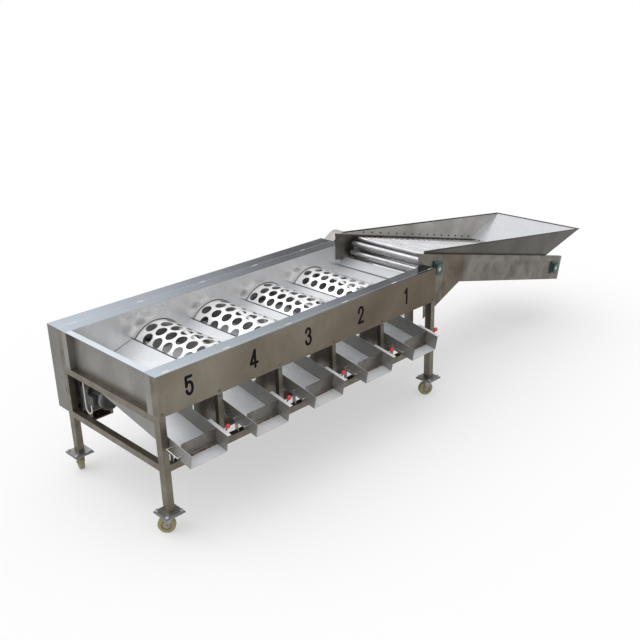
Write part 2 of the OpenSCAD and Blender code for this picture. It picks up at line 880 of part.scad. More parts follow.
// Flange bearing with its seat at zero and its housing towards +Z
module flange_bearing(d) {
  c = bearing_w / 2 - bolt_inset;
  difference() {
    union() {
      linear_extrude(height = bearing_t) square(bearing_w, center = true);
      cylinder(d = bearing_d, h = bearing_h);
      for (x = [-c, c])
        for (y = [-c, c])
          translate([x, y, 0]) cylinder(d = bolt_d * 3 / 2, h = bearing_t + bolt_head_h, $fn = 6);
    }
    translate([0, 0, -bearing_t]) cylinder(d = d + 2 * shaft_fit, h = bearing_h + 2 * bearing_t);
  }
}

module drum_bearings() {
  color("seagreen")
    for (k = [0 : drum_n - 1])
      drum_at(k) {
        translate([0, trough_y1 + sheet_t, 0]) rotate([-90, 0, 0]) flange_bearing(shaft_d);
        translate([0, frame_y1, 0]) rotate([90, 0, 0]) flange_bearing(shaft_d);
      }
}

// Part of a flat ring between two angles
module arc_2d(r, h, a, b) {
  far = 2 * (r + h);
  steps = 4;
  intersection() {
    difference() {
      circle(r = r + h);
      circle(r = r);
    }
    polygon([[0, 0], for (i = [0 : steps]) ring(far, a + (b - a) * i / steps)]);
  }
}

// Chain round two wheels: an arc on each and two slightly slimmer runs that end inside the arcs
module chain_2d(p, r, q, s) {
  lap_a = 3;
  g = chain_gap;
  low = g + run_step;
  high = g + chain_h - run_step;
  a = atan2(q[1] - p[1], q[0] - p[0]);
  t = acos((r - s) / norm(q - p));
  translate(p) arc_2d(r + g, chain_h, a + t - lap_a, a + 360 - t + lap_a);
  translate(q) arc_2d(s + g, chain_h, a - t - lap_a, a + t + lap_a);
  for (e = [a - t, a + t])
    polygon([p + ring(r + low, e), p + ring(r + high, e), q + ring(s + high, e), q + ring(s + low, e)]);
}

module drive_chains() {
  first = [drum_cx(0), drum_z];
  last = [drum_cx(drum_n - 1), drum_z];
  color("dimgray") {
    along_y(lane_a_y - chain_w / 2, lane_a_y + chain_w / 2) chain_2d(first, main_r, last, main_r);
    along_y(lane_b_y - chain_w / 2, lane_b_y + chain_w / 2) {
      chain_2d([motor_x, motor_z], motor_r, first, driven_r);
      chain_2d(last, feed_r, [head_px, head_z], head_r);
    }
  }
}

module wall_rings() {
  color("black")
    mirror_y()
      for (k = [0 : drum_n - 1])
        drum_at(k) along_y(trough_y0, trough_y0 + seal_h)
          difference() {
            circle(r = drum_r + seal_gap + seal_w);
            circle(r = drum_r + seal_gap);
          }
}

module motor_at() {
  translate([motor_x, 0, motor_z]) children();
}

module gearbox() {
  w = gear_w / 2;
  foot = motor_z - rail_top - rail_w / 2;
  color("dimgray")
    motor_at() difference() {
      union() {
        along_y(gear_y, trough_y1)
          polygon([
            [-w, -foot + mount_t], [w, -foot + mount_t], [w, w - gear_c], [w - gear_c, w],
            [gear_c - w, w], [-w, w - gear_c]
          ]);
      }
      rod_y(out_d + 2 * shaft_fit, gear_y + gear_l / 2, trough_y1 + sheet_t);
    }
}

module motor_body() {
  color("dimgray")
    motor_at() {
      along_y(motor_y, gear_y) {
        circle(d = motor_d - 2 * fin_h);
        for (i = [0 : fin_n - 1])
          rotate(i * 360 / fin_n) translate([motor_d / 4, -fin_t / 2])
            square([motor_d / 4, fin_t]);
      }
      translate([term_x - motor_x, motor_y + (motor_l - term_w) / 2, -term_w / 2])
        cube([term_d, term_w, term_w]);
    }
}

module fan_cover() {
  color("dimgray")
    motor_at() translate([0, motor_y, 0]) rotate([90, 0, 0]) difference() {
      rotate_extrude() {
        square([motor_d / 2, fan_l - fan_r]);
        square([motor_d / 2 - fan_r, fan_l]);
        translate([motor_d / 2 - fan_r, fan_l - fan_r]) intersection() {
          circle(r = fan_r);
          square(fan_r);
        }
      }
      for (i = [0 : fin_n / 2 - 1])
        rotate(i * 720 / fin_n) translate([motor_d / 6, -fin_t / 2, fan_l - fin_h])
          cube([motor_d / 5, fin_t, 2 * fin_h]);
    }
}

module motor_mount() {
  z = rail_top + rail_w / 2;
  x0 = leg_w;
  x1 = motor_x + gear_w / 2 + mount_side;
  color("darkgray") {
    translate([x0, gear_y, z]) cube([x1 - x0, trough_y1 - gear_y, mount_t]);
    for (x = [x0, x1 - mount_side])
      translate([x, gear_y, rail_z]) cube([mount_side, mount_side, z - rail_z]);
    translate([x0, gear_y, rail_z])
      cube([x1 - x0, frame_y1 - rail_w - gear_y, mount_t]);
  }
}

module motor_cable() {
  x = (term_x + leg_w) / 2;
  y = motor_y + motor_l / 2;
  z = motor_z - term_w / 2;
  color("white")
    translate([x, y, z]) {
      translate([0, 0, -cable_r]) cylinder(d = cable_d, h = cable_r);
      translate([0, cable_r, -cable_r]) rotate([90, 180, 90])
        rotate_extrude(angle = 180) translate([cable_r, 0]) circle(d = cable_d);
      translate([0, 2 * cable_r, -cable_r])
        cylinder(d = cable_d, h = panel_z - rail_w - z + cable_r);
    }
}

module motor_output() {
  color("gray")
    motor_at() {
      rod_y(out_d, gear_y + gear_l / 2 + shaft_gap, lane_b_y + chain_w);
      sprocket(motor_r, lane_b_y);
    }
}

module side_2d() {
  h = side_top;
  polygon([
    [-side_lead, h], [feed_c + side_tail, h], [feed_c + side_tail, -h],
    [side_h * tan(feed_slope) - side_lead, -h]
  ]);
}

module elevator_sides() {
  h = side_top;
  lap = 2 * side_t;
  gusset_top = head_z - (gusset_l - head_x) * tan(feed_slope) - (h - lap) / cos(feed_slope);
  color("silver")
    mirror_y() {
      elevator() {
        along_y(trough_y0, trough_y0 + side_t)
          difference() {
            side_2d();
            for (x = [0, feed_c]) translate([x, 0]) shaft_hole(feed_shaft_d);
          }
        along_y(trough_y0, trough_y0 + side_flange) {
          rect(-side_lead, h - side_t, feed_c + side_tail, h);
          rect(0, -h, feed_c + side_tail, side_t - h);
        }
      }
      along_y(trough_y0, trough_y0 + side_t)
        polygon([
          [body_l, gusset_z], [body_l + gusset_l, gusset_top],
          [body_l, gusset_top + gusset_l * tan(feed_slope)]
        ]);
    }
}

// Places every roller of the loop: both strands, then the ones wrapped round head and tail
module roller_spots() {
  r = roller_pitch;
  for (i = [0 : roller_n])
    for (s = [-1, 1])
      translate([i * roller_pitch, s * r]) children();
  for (a = [150, 210]) translate(ring(r, a)) children();
  for (a = [-30, 30]) translate([feed_c, 0] + ring(r, a)) children();
}

module elevator_rollers() {
  color("lightgray")
    elevator() along_y(link_y0 + link_w, link_y1 - link_w)
      roller_spots()
        difference() {
          circle(d = roller_d);
          circle(d = roller_d - 2 * roller_wall);
        }
}

module elevator_chains() {
  r = roller_pitch;
  h = link_h / 2;
  color("black")
    mirror_y()
      elevator() along_y(link_y0, link_y0 + link_w) {
        difference() {
          belt_2d([0, 0], r + h, [feed_c, 0], r + h);
          belt_2d([0, 0], r - h, [feed_c, 0], r - h);
        }
        roller_spots() circle(d = roll_d);
      }
}

module elevator_bearings() {
  color("seagreen")
    mirror_y()
      elevator()
        for (x = [0, feed_c])
          translate([x, trough_y0, 0]) rotate([90, 0, 0]) flange_bearing(feed_shaft_d);
}

module elevator_ties() {
  tie_shares = [0.2, 0.5, 0.8];
  color("silver")
    elevator()
      for (s = tie_shares)
        translate([s * feed_c, 0, 0]) rod_y(tie_d, trough_y0 + side_t, trough_y1 - side_t);
}

module chain_wheels() {
  teeth_n = 12;
  for (y = [link_y0, link_y1 - link_w])
    along_y(y, y + link_w) sprocket_2d(wheel_tip, teeth_n);
}

module head_shaft() {
  color("gray")
    elevator() {
      rod_y(feed_shaft_d, trough_y0 - bearing_h, lane_b_y + chain_w);
      chain_wheels();
      sprocket(head_r, lane_b_y);
    }
}

module tail_shaft() {
  color("gray")
    elevator() translate([feed_c, 0, 0]) {
      rod_y(feed_shaft_d, trough_y0 - bearing_h, trough_y1 + bearing_h);
      chain_wheels();
    }
}

module hopper_sides() {
  lean = cos(hopper_lean);
  color("gainsboro")
    mirror_y()
      elevator() translate([0, trough_y0 + hopper_inset, side_top]) rotate([hopper_lean, 0, 0])
        along_y(0, sheet_t)
          polygon([
            [-hopper_in, 0], [hopper_foot, 0], [hopper_end_x, hopper_h / lean],
            [-hopper_in, hopper_h0 / lean]
          ]);
}

module hopper_end() {
  l = norm([hopper_run, hopper_h]);
  y0 = trough_y0 + hopper_inset + sheet_t / cos(hopper_lean) + weld_gap;
  flare = hopper_h * tan(hopper_lean);
  x0 = sheet_t / tan(hopper_tilt);
  y1 = y0 - flare * x0 / l;
  color("white")
    elevator() translate([hopper_foot, 0, side_top]) rotate([0, -hopper_tilt, 0])
      translate([0, 0, -sheet_t]) linear_extrude(height = sheet_t)
        polygon([[x0, y1], [l, y0 - flare], [l, body_w - y0 + flare], [x0, body_w - y1]]);
}

module fork(i, j, turn) {
  w = wheel_w / 2 + fork_gap;
  h = wheel_d / 2;
  color("silver")
    caster_at(i, j) rotate(turn) {
      for (y = [-w - fork_t, w])
        along_y(y, y + fork_t) {
          polygon([
            [-crown_w / 2, crown_z + fork_t], [crown_w / 2, crown_z + fork_t],
            [trail + axle_d, h], [trail - axle_d, h]
          ]);
          translate([trail, h]) circle(r = axle_d);
        }
      translate([-crown_w / 2, -w - fork_t, crown_z]) cube([crown_w, 2 * (w + fork_t), fork_t]);
      translate([0, 0, race_z]) cylinder(d = race_d, h = race_h);
      translate([0, 0, race_z]) cylinder(d = kingpin_d, h = race_h + swivel_gap + plate_t);
      translate([trail, 0, h]) rod_y(axle_d, -w - 2 * fork_t, w + 2 * fork_t);
    }
}

module wheel(i, j, turn) {
  w = wheel_w / 2;
  b = axle_d / 2 + shaft_fit;
  color("olive")
    caster_at(i, j) rotate(turn) translate([trail, 0, wheel_d / 2]) rotate([90, 0, 0])
      rotate_extrude() {
        rect(b, -w - fork_gap / 2, hub_d / 2, w + fork_gap / 2);
        rect(b, -w / 2, wheel_d / 2 - 2 * tread_r, w / 2);
        rect(wheel_d / 2 - 3 * tread_r, -w, wheel_d / 2 - tread_r, w);
        rect(wheel_d / 2 - 2 * tread_r, tread_r - w, wheel_d / 2, w - tread_r);
        for (y = [tread_r - w, w - tread_r]) translate([wheel_d / 2 - tread_r, y]) circle(r = tread_r);
      }
}

place() legs();
place() caster_plates();
place() long_rails();
place() cross_rails();
place() tray_posts();
place() front_panel();
place() rear_panel();
place() front_inner_wall();
place() rear_inner_wall();
place() end_panels();
place() deck_plates();
place() drive_guard();
place() feed_chain_cover();
place() chutes();
place() chute_brackets();
place() chute_loops();
place() gearbox();
place() motor_body();
place() fan_cover();
place() motor_mount();
place() motor_cable();
place() motor_output();
place() drum_bearings();
place() drive_chains();
place() wall_rings();
place() elevator_sides();
place() elevator_rollers();
place() elevator_chains();
place() elevator_bearings();
place() elevator_ties();
place() head_shaft();
place() tail_shaft();
place() hopper_sides();
place() hopper_end();
place() drum_shell(3);  // drum_1_shell
place() drum_shell(2);  // drum_2_shell
place() drum_shell(1);  // drum_3_shell
place() drum_shell(0);  // drum_4_shell
place() drum_drive(3);  // drum_1_drive
place() drum_drive(2);  // drum_2_drive
place() drum_drive(1);  // drum_3_drive
place() drum_drive(0);  // drum_4_drive
place() gate(4);  // gate_1
place() gate(3);  // gate_2
place() gate(2);  // gate_3
place() gate(1);  // gate_4
place() gate(0);  // gate_5
place() knob(4);  // knob_1
place() knob(3);  // knob_2
place() knob(2);  // knob_3
place() knob(1);  // knob_4
place() knob(0);  // knob_5
place() fork(0, 0, caster_turn[0]);  // fork_fl
place() fork(0, 1, caster_turn[1]);  // fork_rl
place() fork(1, 0, caster_turn[2]);  // fork_fr
place() fork(1, 1, caster_turn[3]);  // fork_rr
place() wheel(0, 0, caster_turn[0]);  // wheel_fl
place() wheel(0, 1, caster_turn[1]);  // wheel_rl
place() wheel(1, 0, caster_turn[2]);  // wheel_fr
place() wheel(1, 1, caster_turn[3]);  // wheel_rr
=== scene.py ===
"""Looks of a fruit grading machine: finishes for its sheet metal, drums, elevator, chutes and casters,
and the small pieces that sit on the solids: painted outlet numbers, screws, weld marks, bright seam beads as
painted highlights, black deck strips as painted shadows, hems and chain links.
"""

import logging
import math
from dataclasses import dataclass, field
from enum import Enum
from typing import Callable, Dict, List, Mapping, Optional, Sequence, Tuple

import bmesh
import bpy
from mathutils import Matrix, Vector


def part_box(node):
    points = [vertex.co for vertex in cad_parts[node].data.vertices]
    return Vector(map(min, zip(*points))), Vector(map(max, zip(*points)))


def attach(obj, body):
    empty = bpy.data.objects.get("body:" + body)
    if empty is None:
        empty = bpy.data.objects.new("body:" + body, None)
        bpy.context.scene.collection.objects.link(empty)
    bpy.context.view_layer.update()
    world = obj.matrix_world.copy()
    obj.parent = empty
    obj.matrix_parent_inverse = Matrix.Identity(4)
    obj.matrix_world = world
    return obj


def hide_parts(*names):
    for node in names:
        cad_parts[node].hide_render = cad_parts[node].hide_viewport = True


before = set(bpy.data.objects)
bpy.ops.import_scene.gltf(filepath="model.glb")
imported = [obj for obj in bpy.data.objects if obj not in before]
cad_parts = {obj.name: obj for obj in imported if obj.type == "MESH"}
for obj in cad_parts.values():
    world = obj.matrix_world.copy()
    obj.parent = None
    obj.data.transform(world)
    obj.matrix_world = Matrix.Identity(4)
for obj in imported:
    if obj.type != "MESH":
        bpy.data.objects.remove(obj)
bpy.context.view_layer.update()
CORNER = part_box("front_panel")[0]

LOG = logging.getLogger("fruit_grader")
MM = 0.001
BOX_DIGITS = 2
ROOT = "frame"

Colour = Tuple[float, float, float]
Flat = Tuple[float, float]
Point = Tuple[float, float, float]
Place = Tuple[Vector, Point]
Socket = bpy.types.NodeSocket
Outputs = Mapping[str, Socket]


class Grain(Enum):
    """Direction in which a sheet was brushed, as the stretch of its grain along X, Y and Z."""

    ALONG_X = (1.0, 60.0, 60.0)
    ALONG_Y = (60.0, 1.0, 60.0)
    ALONG_Z = (60.0, 60.0, 1.0)
    CLOUDY = (6.0, 6.0, 6.0)


class Side(Enum):
    """Way a fastener's head faces, as the turn that takes +Z there."""

    FRONT = (math.pi / 2, 0.0, 0.0)
    BACK = (-math.pi / 2, 0.0, 0.0)
    UP = (0.0, 0.0, 0.0)


class Axis(Enum):
    """Axis of the machine, as the way it points."""

    X = (1.0, 0.0, 0.0)
    Y = (0.0, 1.0, 0.0)
    Z = (0.0, 0.0, 1.0)


class Kind(Enum):
    """What a group's socket carries."""

    VALUE = "NodeSocketFloat"
    VECTOR = "NodeSocketVector"
    COLOUR = "NodeSocketColor"


def measure(node: str) -> Tuple[Vector, Vector]:
    """Finds the low and high corner of a solid's box in the machine's own millimetres."""
    zero = Vector((CORNER.x, CORNER.y, 0.0))
    return tuple(Vector([round(v / MM, BOX_DIGITS) for v in corner - zero]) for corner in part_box(node))


def middle(node: str) -> Vector:
    """Finds the middle of a solid's box in the machine's own millimetres."""
    return sum(measure(node), Vector()) / 2


@dataclass(frozen=True)
class Layout:
    """Machine's own measuring frame: zero is the outlet end of the front panel's outer face, on the floor.

    Lengths are in millimetres. Those that a solid's box shows are taken from it.
    """

    body_l: float = measure("front_panel")[1].x
    flange: float = measure("front_panel")[1].y
    lip_z: float = measure("front_panel")[1].z
    panel_z: float = measure("front_panel")[0].z
    body_w: float = measure("rear_panel")[1].y
    wall_w: float = measure("front_inner_wall")[1].y
    guard_y: float = measure("drive_guard")[1].y
    drums: int = 4
    drum_x: float = middle("drum_4_shell").x
    drum_z: float = middle("drum_4_shell").z
    pitch: float = middle("drum_3_shell").x - middle("drum_4_shell").x
    deck_slope: float = 18.0
    chutes: int = 5
    chute_x: float = measure("chutes")[0].x
    chute_z: float = measure("chutes")[0].z
    chute_w: float = 240.0
    chute_out: float = 172.0
    chute_slope: float = 10.99
    head_x: float = 2420.0
    head_z: float = 884.0
    feed_slope: float = 14.0
    hopper_lean: float = 9.0
    sheet_t: float = 2.0

    def at(self, x: float, y: float, z: float) -> Vector:
        """Turns a place on the machine into the frame's metres.

        Args:
            x: Distance from the outlet end.
            y: Distance behind the front panel's face.
            z: Height above the floor.

        Returns:
            The point in the row frame.
        """
        return Vector((CORNER.x + x * MM, CORNER.y + y * MM, z * MM))

    def along(self, axis: Axis, spot: float) -> float:
        """Turns a distance along one axis of the machine into the frame's metres."""
        return self.at(spot, spot, spot).dot(Vector(axis.value))

    def on_chute(self, k: int, x: float, along: float, up: float) -> Vector:
        """Finds a point in the sloped frame of a chute.

        Args:
            k: Chute counted from the outlet end.
            x: Distance from its left wall.
            along: Distance behind its front edge, along the floor.
            up: Distance above its underside.

        Returns:
            The point in the row frame.
        """
        a = math.radians(self.chute_slope)
        y = along * math.cos(a) - up * math.sin(a) - self.chute_out
        z = along * math.sin(a) + up * math.cos(a) + self.chute_z
        return self.at(self.chute_x + k * self.pitch + x, y, z)

    def on_elevator(self, along: float, y: float, up: float) -> Vector:
        """Finds a point in the sloped frame of the elevator.

        Args:
            along: Distance from the head shaft towards the tail.
            y: Distance behind the front panel's face.
            up: Distance above the line through both shafts.

        Returns:
            The point in the row frame.
        """
        a = math.radians(self.feed_slope)
        x = self.head_x + along * math.cos(a) + up * math.sin(a)
        z = self.head_z - along * math.sin(a) + up * math.cos(a)
        return self.at(x, y, z)


LAYOUT = Layout()


class Wiring:
    """Short way of filling a node tree: each input takes a plain value or another node's output."""

    def __init__(self, tree: bpy.types.NodeTree) -> None:
        """Keeps the tree to fill."""
        self.tree = tree

    def feed(self, socket: Socket, value: object) -> None:
        """Fills one input.

        Args:
            socket: Input to fill.
            value: Output to link to it, or its plain value.
        """
        if isinstance(value, Socket):
            self.tree.links.new(value, socket)
        else:
            socket.default_value = value

    def fill(self, node: bpy.types.Node, inputs: Mapping[object, object]) -> None:
        """Fills the inputs of a node, by name or number."""
        for label, value in inputs.items():
            self.feed(node.inputs[label], value)

    def node(
        self, kind: str, inputs: Optional[Mapping[object, object]] = None, **options: object
    ) -> bpy.types.Node:
        """Adds a node.

        Args:
            kind: Type of the node.
            inputs: What goes into its inputs, by name or number.
            **options: Settings of the node itself.

        Returns:
            The new node.
        """
        node = self.tree.nodes.new(kind)
        for label, value in options.items():
            setattr(node, label, value)
        self.fill(node, inputs or {})
        return node

    def group(self, tree: bpy.types.NodeTree, inputs: Mapping[object, object]) -> Socket:
        """Places a shared group and returns its one output."""
        return self.node("ShaderNodeGroup", inputs, node_tree=tree).outputs[0]

    def place(self) -> Socket:
        """Reads the surface point in Object coordinates."""
        return self.node("ShaderNodeTexCoord").outputs["Object"]

    def part(self, vector: Socket, axis: Axis) -> Socket:
        """Takes one coordinate of a vector."""
        return self.node("ShaderNodeSeparateXYZ", {"Vector": vector}).outputs[axis.name]

    def noise(self, inputs: Mapping[object, object]) -> Socket:
        """Adds a noise and returns its value."""
        return self.node("ShaderNodeTexNoise", inputs).outputs["Fac"]

    def math(self, operation: str, first: object, second: object) -> Socket:
        """Works on two values and returns the result."""
        return self.node("ShaderNodeMath", {0: first, 1: second}, operation=operation).outputs["Value"]

    def span(self, value: Socket, ends: Sequence[object], onto: Sequence[float] = (0.0, 1.0)) -> Socket:
        """Stretches one range onto another.

        Args:
            value: What is stretched.
            ends: Ends of its range.
            onto: Ends of the new range, which the result stays in.

        Returns:
            The stretched value.
        """
        labels = ("Value", "From Min", "From Max", "To Min", "To Max")
        inputs = dict(zip(labels, (value, *ends, *onto)))
        return self.node("ShaderNodeMapRange", inputs).outputs["Result"]

    def along(self, place: Socket, axis: Axis, start: float, end: float) -> Socket:
        """Goes from zero to one between two places on the machine.

        Args:
            place: Surface point.
            axis: Axis that the places lie along.
            start: Where it is zero.
            end: Where it is one.

        Returns:
            The value.
        """
        ends = [LAYOUT.along(axis, spot) for spot in (start, end)]
        return self.span(self.part(place, axis), ends)

    def mix(self, factor: Socket, first: object, second: object, blend: str = "MIX") -> Socket:
        """Mixes two colours.

        Args:
            factor: Output that drives the mix.
            first: Colour, or output, at zero.
            second: Colour, or output, at one.
            blend: Way of mixing.

        Returns:
            The mixed colour.
        """
        node = self.node("ShaderNodeMix", {0: factor}, data_type="RGBA", blend_type=blend)
        ends = [s for s in node.inputs if s.type == "RGBA"]
        for socket, value in zip(ends, (first, second)):
            self.feed(socket, (*value, 1.0) if isinstance(value, tuple) else value)
        return next(s for s in node.outputs if s.type == "RGBA")


def start_material(name: str) -> Tuple[bpy.types.Material, Wiring, bpy.types.Node]:
    """Starts a material.

    Args:
        name: Name of the material.

    Returns:
        The material, the wiring of its tree and its Principled shader.
    """
    material = bpy.data.materials.new(name)
    material.use_nodes = True
    return material, Wiring(material.node_tree), material.node_tree.nodes["Principled BSDF"]


# Wall tops carry a painted reflection of the sky: the height at which it starts, and the run over which it
# darkens.
LIP_REFLECTION_STEP: Flat = (LAYOUT.lip_z - 1.3, LAYOUT.lip_z - 0.7)
LIP_REFLECTION_RUN: Flat = (0.0, 1780.0)
LIP_REFLECTION_TONE: Colour = (0.53, 0.59, 0.66)
END_LIP_REFLECTION_TONE: Colour = (0.74, 0.79, 0.85)
LIP_REFLECTION_FAR_TONE: Colour = (0.016, 0.019, 0.030)


class Effects:
    """Shader node groups that several finishes share."""

    GRAIN = {"Detail": 5.0, "Roughness": 0.7}
    PATCHES = {"Detail": 6.0, "Roughness": 0.6, "Distortion": 0.6}
    SPECKS = {"Detail": 4.0, "Scale": 22.0}
    WAVES = {"Detail": 1.0}

    def __init__(self) -> None:
        """Builds every group once."""
        value, vector, colour = Kind.VALUE, Kind.VECTOR, Kind.COLOUR
        scaled = {"Vector": vector, "Scale": value}
        self.grain = self._group("brushed_grain", scaled, ("Lines", value), self._grain)
        self.waves = self._group("sheet_waves", scaled, ("Height", value), self._waves)
        self.blotch = self._group(
            "washed_patches", {**scaled, "Low": value, "High": value}, ("Mask", value), self._blotch
        )
        self.dust = self._group(
            "floor_dust", {"Vector": vector, "Reach": value, "Amount": value}, ("Mask", value), self._dust
        )
        self.ramp = self._group(
            "tone_ramp", {"Vector": vector, "Axis": vector, "Start": value, "End": value}, ("Mask", value),
            self._ramp,
        )
        self.painted_light = self._group(
            "wall_top_painted_reflection", {"Vector": vector, "Sheet": colour, "Top": colour, "Streaks": value},
            ("Colour", colour), self._painted_top_reflection,
        )

    @staticmethod
    def _group(
        name: str, inputs: Mapping[str, Kind], result: Tuple[str, Kind],
        fill: Callable[[Wiring, Outputs], Socket],
    ) -> bpy.types.NodeTree:
        """Builds a group with one output.

        Args:
            name: Name of the group.
            inputs: Name and kind of each input.
            result: Name and kind of the output.
            fill: Method that adds the nodes between them.

        Returns:
            The group.
        """
        group = bpy.data.node_groups.new(name, "ShaderNodeTree")
        for label, kind in inputs.items():
            group.interface.new_socket(label, in_out="INPUT", socket_type=kind.value)
        group.interface.new_socket(result[0], in_out="OUTPUT", socket_type=result[1].value)
        wires = Wiring(group)
        made = fill(wires, wires.node("NodeGroupInput").outputs)
        wires.node("NodeGroupOutput", {result[0]: made})
        return group

    def _grain(self, wires: Wiring, given: Outputs) -> Socket:
        """Makes the fine lines of a brushed sheet, from a vector stretched along the brushing."""
        return wires.noise({"Vector": given["Vector"], "Scale": given["Scale"], **self.GRAIN})

    def _waves(self, wires: Wiring, given: Outputs) -> Socket:
        """Makes the slow waves of thin sheet."""
        return wires.noise({"Vector": given["Vector"], "Scale": given["Scale"], **self.WAVES})

    def _blotch(self, wires: Wiring, given: Outputs) -> Socket:
        """Makes soft uneven patches, as on handled and washed-down stainless sheet."""
        cloud = wires.noise({"Vector": given["Vector"], "Scale": given["Scale"], **self.PATCHES})
        return wires.span(cloud, (given["Low"], given["High"]))

    def _dust(self, wires: Wiring, given: Outputs) -> Socket:
        """Makes a patchy film that thickens towards the floor.

        Args:
            wires: Wiring of the group.
            given: What goes in.

        Returns:
            The film's mask.
        """
        low = wires.span(wires.part(given["Vector"], Axis.Z), (0.0, given["Reach"]), (1.0, 0.0))
        patchy = wires.math("MULTIPLY", low, wires.noise({"Vector": given["Vector"], **self.SPECKS}))
        return wires.math("MULTIPLY", patchy, given["Amount"])

    @staticmethod
    def _ramp(wires: Wiring, given: Outputs) -> Socket:
        """Makes a mask that goes from zero to one along an axis.

        Args:
            wires: Wiring of the group.
            given: What goes in.

        Returns:
            The mask.
        """
        ways = {0: given["Vector"], 1: given["Axis"]}
        along = wires.node("ShaderNodeVectorMath", ways, operation="DOT_PRODUCT")
        return wires.span(along.outputs["Value"], (given["Start"], given["End"]))

    @staticmethod
    def _painted_top_reflection(wires: Wiring, given: Outputs) -> Socket:
        """Paints a reflection of the sky on the wall tops, which darkens along the machine.

        Args:
            wires: Wiring of the group.
            given: What goes in.

        Returns:
            The colour of the tops and of the sheet below them.
        """
        top = wires.mix(wires.along(given["Vector"], Axis.X, *LIP_REFLECTION_RUN), given["Top"], LIP_REFLECTION_FAR_TONE)
        top = wires.mix(given["Streaks"], top, LIP_REFLECTION_FAR_TONE)
        return wires.mix(wires.along(given["Vector"], Axis.Z, *LIP_REFLECTION_STEP), given["Sheet"], top)


@dataclass(frozen=True)
class Fade:
    """Change of tone along one axis, from one place on the machine to another, and back again if set."""

    axis: Axis
    start: float
    end: float
    tone: Colour
    back: Optional[Flat] = None

    def mask(self, wires: Wiring, effects: Effects, place: Socket) -> Socket:
        """Adds the change to a material.

        Args:
            wires: Wiring of the material.
            effects: Shared node groups.
            place: Surface point.

        Returns:
            The output that goes from zero at the start to one at the end.
        """
        ramps = []
        for start, end in [(self.start, self.end)] + ([self.back[::-1]] if self.back else []):
            ends = {"Start": LAYOUT.along(self.axis, start), "End": LAYOUT.along(self.axis, end)}
            ramps.append(wires.group(effects.ramp, {"Vector": place, "Axis": self.axis.value, **ends}))
        return wires.math("MULTIPLY", *ramps) if self.back else ramps[0]


FAN_END = measure("fan_cover")[0].y


@dataclass(frozen=True)
class Finish:
    """Procedural surface: two colours in patches, grain, waviness, dust, slow changes of tone, painted shade
    and painted reflection.

    Colours are linear, bump heights are in metres and grain and patches are counted per metre.
    """

    name: str
    light: Colour
    dark: Colour
    metallic: float
    rough: Flat
    grain: Grain = Grain.CLOUDY
    grain_scale: float = 12.0
    grain_bump: float = 0.00004
    grain_mix: float = 0.25
    patch_scale: float = 4.0
    patch_span: Flat = (0.35, 0.7)
    wave_bump: float = 0.0
    wave_scale: float = 3.0
    wear_span: Flat = (0.4, 1.5)
    dust: float = 0.0
    dust_reach: float = 0.5
    dust_colour: Colour = (0.30, 0.26, 0.20)
    coat: float = 0.0
    coat_rough: float = 0.12
    specular: float = 0.5
    fade: Optional[Fade] = None
    # Painted shade on faces that do not look up, and the range of the normal's height over which it comes in.
    painted_side_shade: Optional[Colour] = None
    painted_side_shade_span: Flat = (0.75, 0.45)
    # Painted reflection on the upward wall tops, as their colour at the outlet end.
    painted_light: Optional[Colour] = None

    def make(self, effects: Effects) -> bpy.types.Material:
        """Builds the material.

        Args:
            effects: Shared node groups.

        Returns:
            The finished material.
        """
        material, wires, shader = start_material(self.name)
        place = wires.place()
        brushed = wires.node("ShaderNodeMapping", {"Vector": place, "Scale": self.grain.value})
        lines = wires.group(
            effects.grain, {"Vector": brushed.outputs["Vector"], "Scale": self.grain_scale}
        )
        low, high = self.patch_span
        patches = wires.group(
            effects.blotch, {"Vector": place, "Scale": self.patch_scale, "Low": low, "High": high}
        )
        wires.fill(shader, {
            "Base Color": self._colour(wires, effects, place, lines, patches),
            "Metallic": self.metallic,
            "Roughness": wires.span(wires.math("ADD", lines, patches), self.wear_span, self.rough),
            "Specular IOR Level": self.specular,
            "Coat Weight": self.coat,
            "Coat Roughness": self.coat_rough,
            "Normal": self._relief(wires, effects, place, lines),
        })
        return material

    def _colour(
        self, wires: Wiring, effects: Effects, place: Socket, lines: Socket, patches: Socket
    ) -> Socket:
        """Mixes patches, grain, changes of tone, painted shade, painted reflection and dust.

        Args:
            wires: Wiring of the material.
            effects: Shared node groups.
            place: Surface point.
            lines: Value of the grain.
            patches: Mask of the patches.

        Returns:
            The base colour.
        """
        streaks = wires.math("MULTIPLY", lines, self.grain_mix)
        colour = wires.mix(streaks, wires.mix(patches, self.light, self.dark), self.dark)
        # Painted shade: faces that do not look up are darkened by their normal.
        if self.painted_side_shade:
            up = wires.part(wires.node("ShaderNodeNewGeometry").outputs["Normal"], Axis.Z)
            colour = wires.mix(wires.span(up, self.painted_side_shade_span), colour, self.painted_side_shade, "MULTIPLY")
        if self.fade:
            mask = self.fade.mask(wires, effects, place)
            colour = wires.mix(mask, colour, self.fade.tone, "MULTIPLY")
        # Painted reflection of the sky on the upward wall tops, darkening along the machine.
        if self.painted_light:
            tones = {"Sheet": colour, "Top": (*self.painted_light, 1.0), "Streaks": streaks}
            colour = wires.group(effects.painted_light, {"Vector": place, **tones})
        if self.dust:
            film = wires.group(
                effects.dust, {"Vector": place, "Reach": self.dust_reach, "Amount": self.dust}
            )
            colour = wires.mix(film, colour, self.dust_colour)
        return colour

    def _relief(self, wires: Wiring, effects: Effects, place: Socket, lines: Socket) -> Socket:
        """Adds the grain's relief, on the slow waves of thin sheet where it has them.

        Args:
            wires: Wiring of the material.
            effects: Shared node groups.
            place: Surface point.
            lines: Value of the grain.

        Returns:
            The normal.
        """
        relief: Dict[object, object] = {"Height": lines, "Distance": self.grain_bump}
        if self.wave_bump:
            wave = wires.group(effects.waves, {"Vector": place, "Scale": self.wave_scale})
            slow = wires.node("ShaderNodeBump", {"Height": wave, "Distance": self.wave_bump})
            relief["Normal"] = slow.outputs["Normal"]
        return wires.node("ShaderNodeBump", relief).outputs["Normal"]


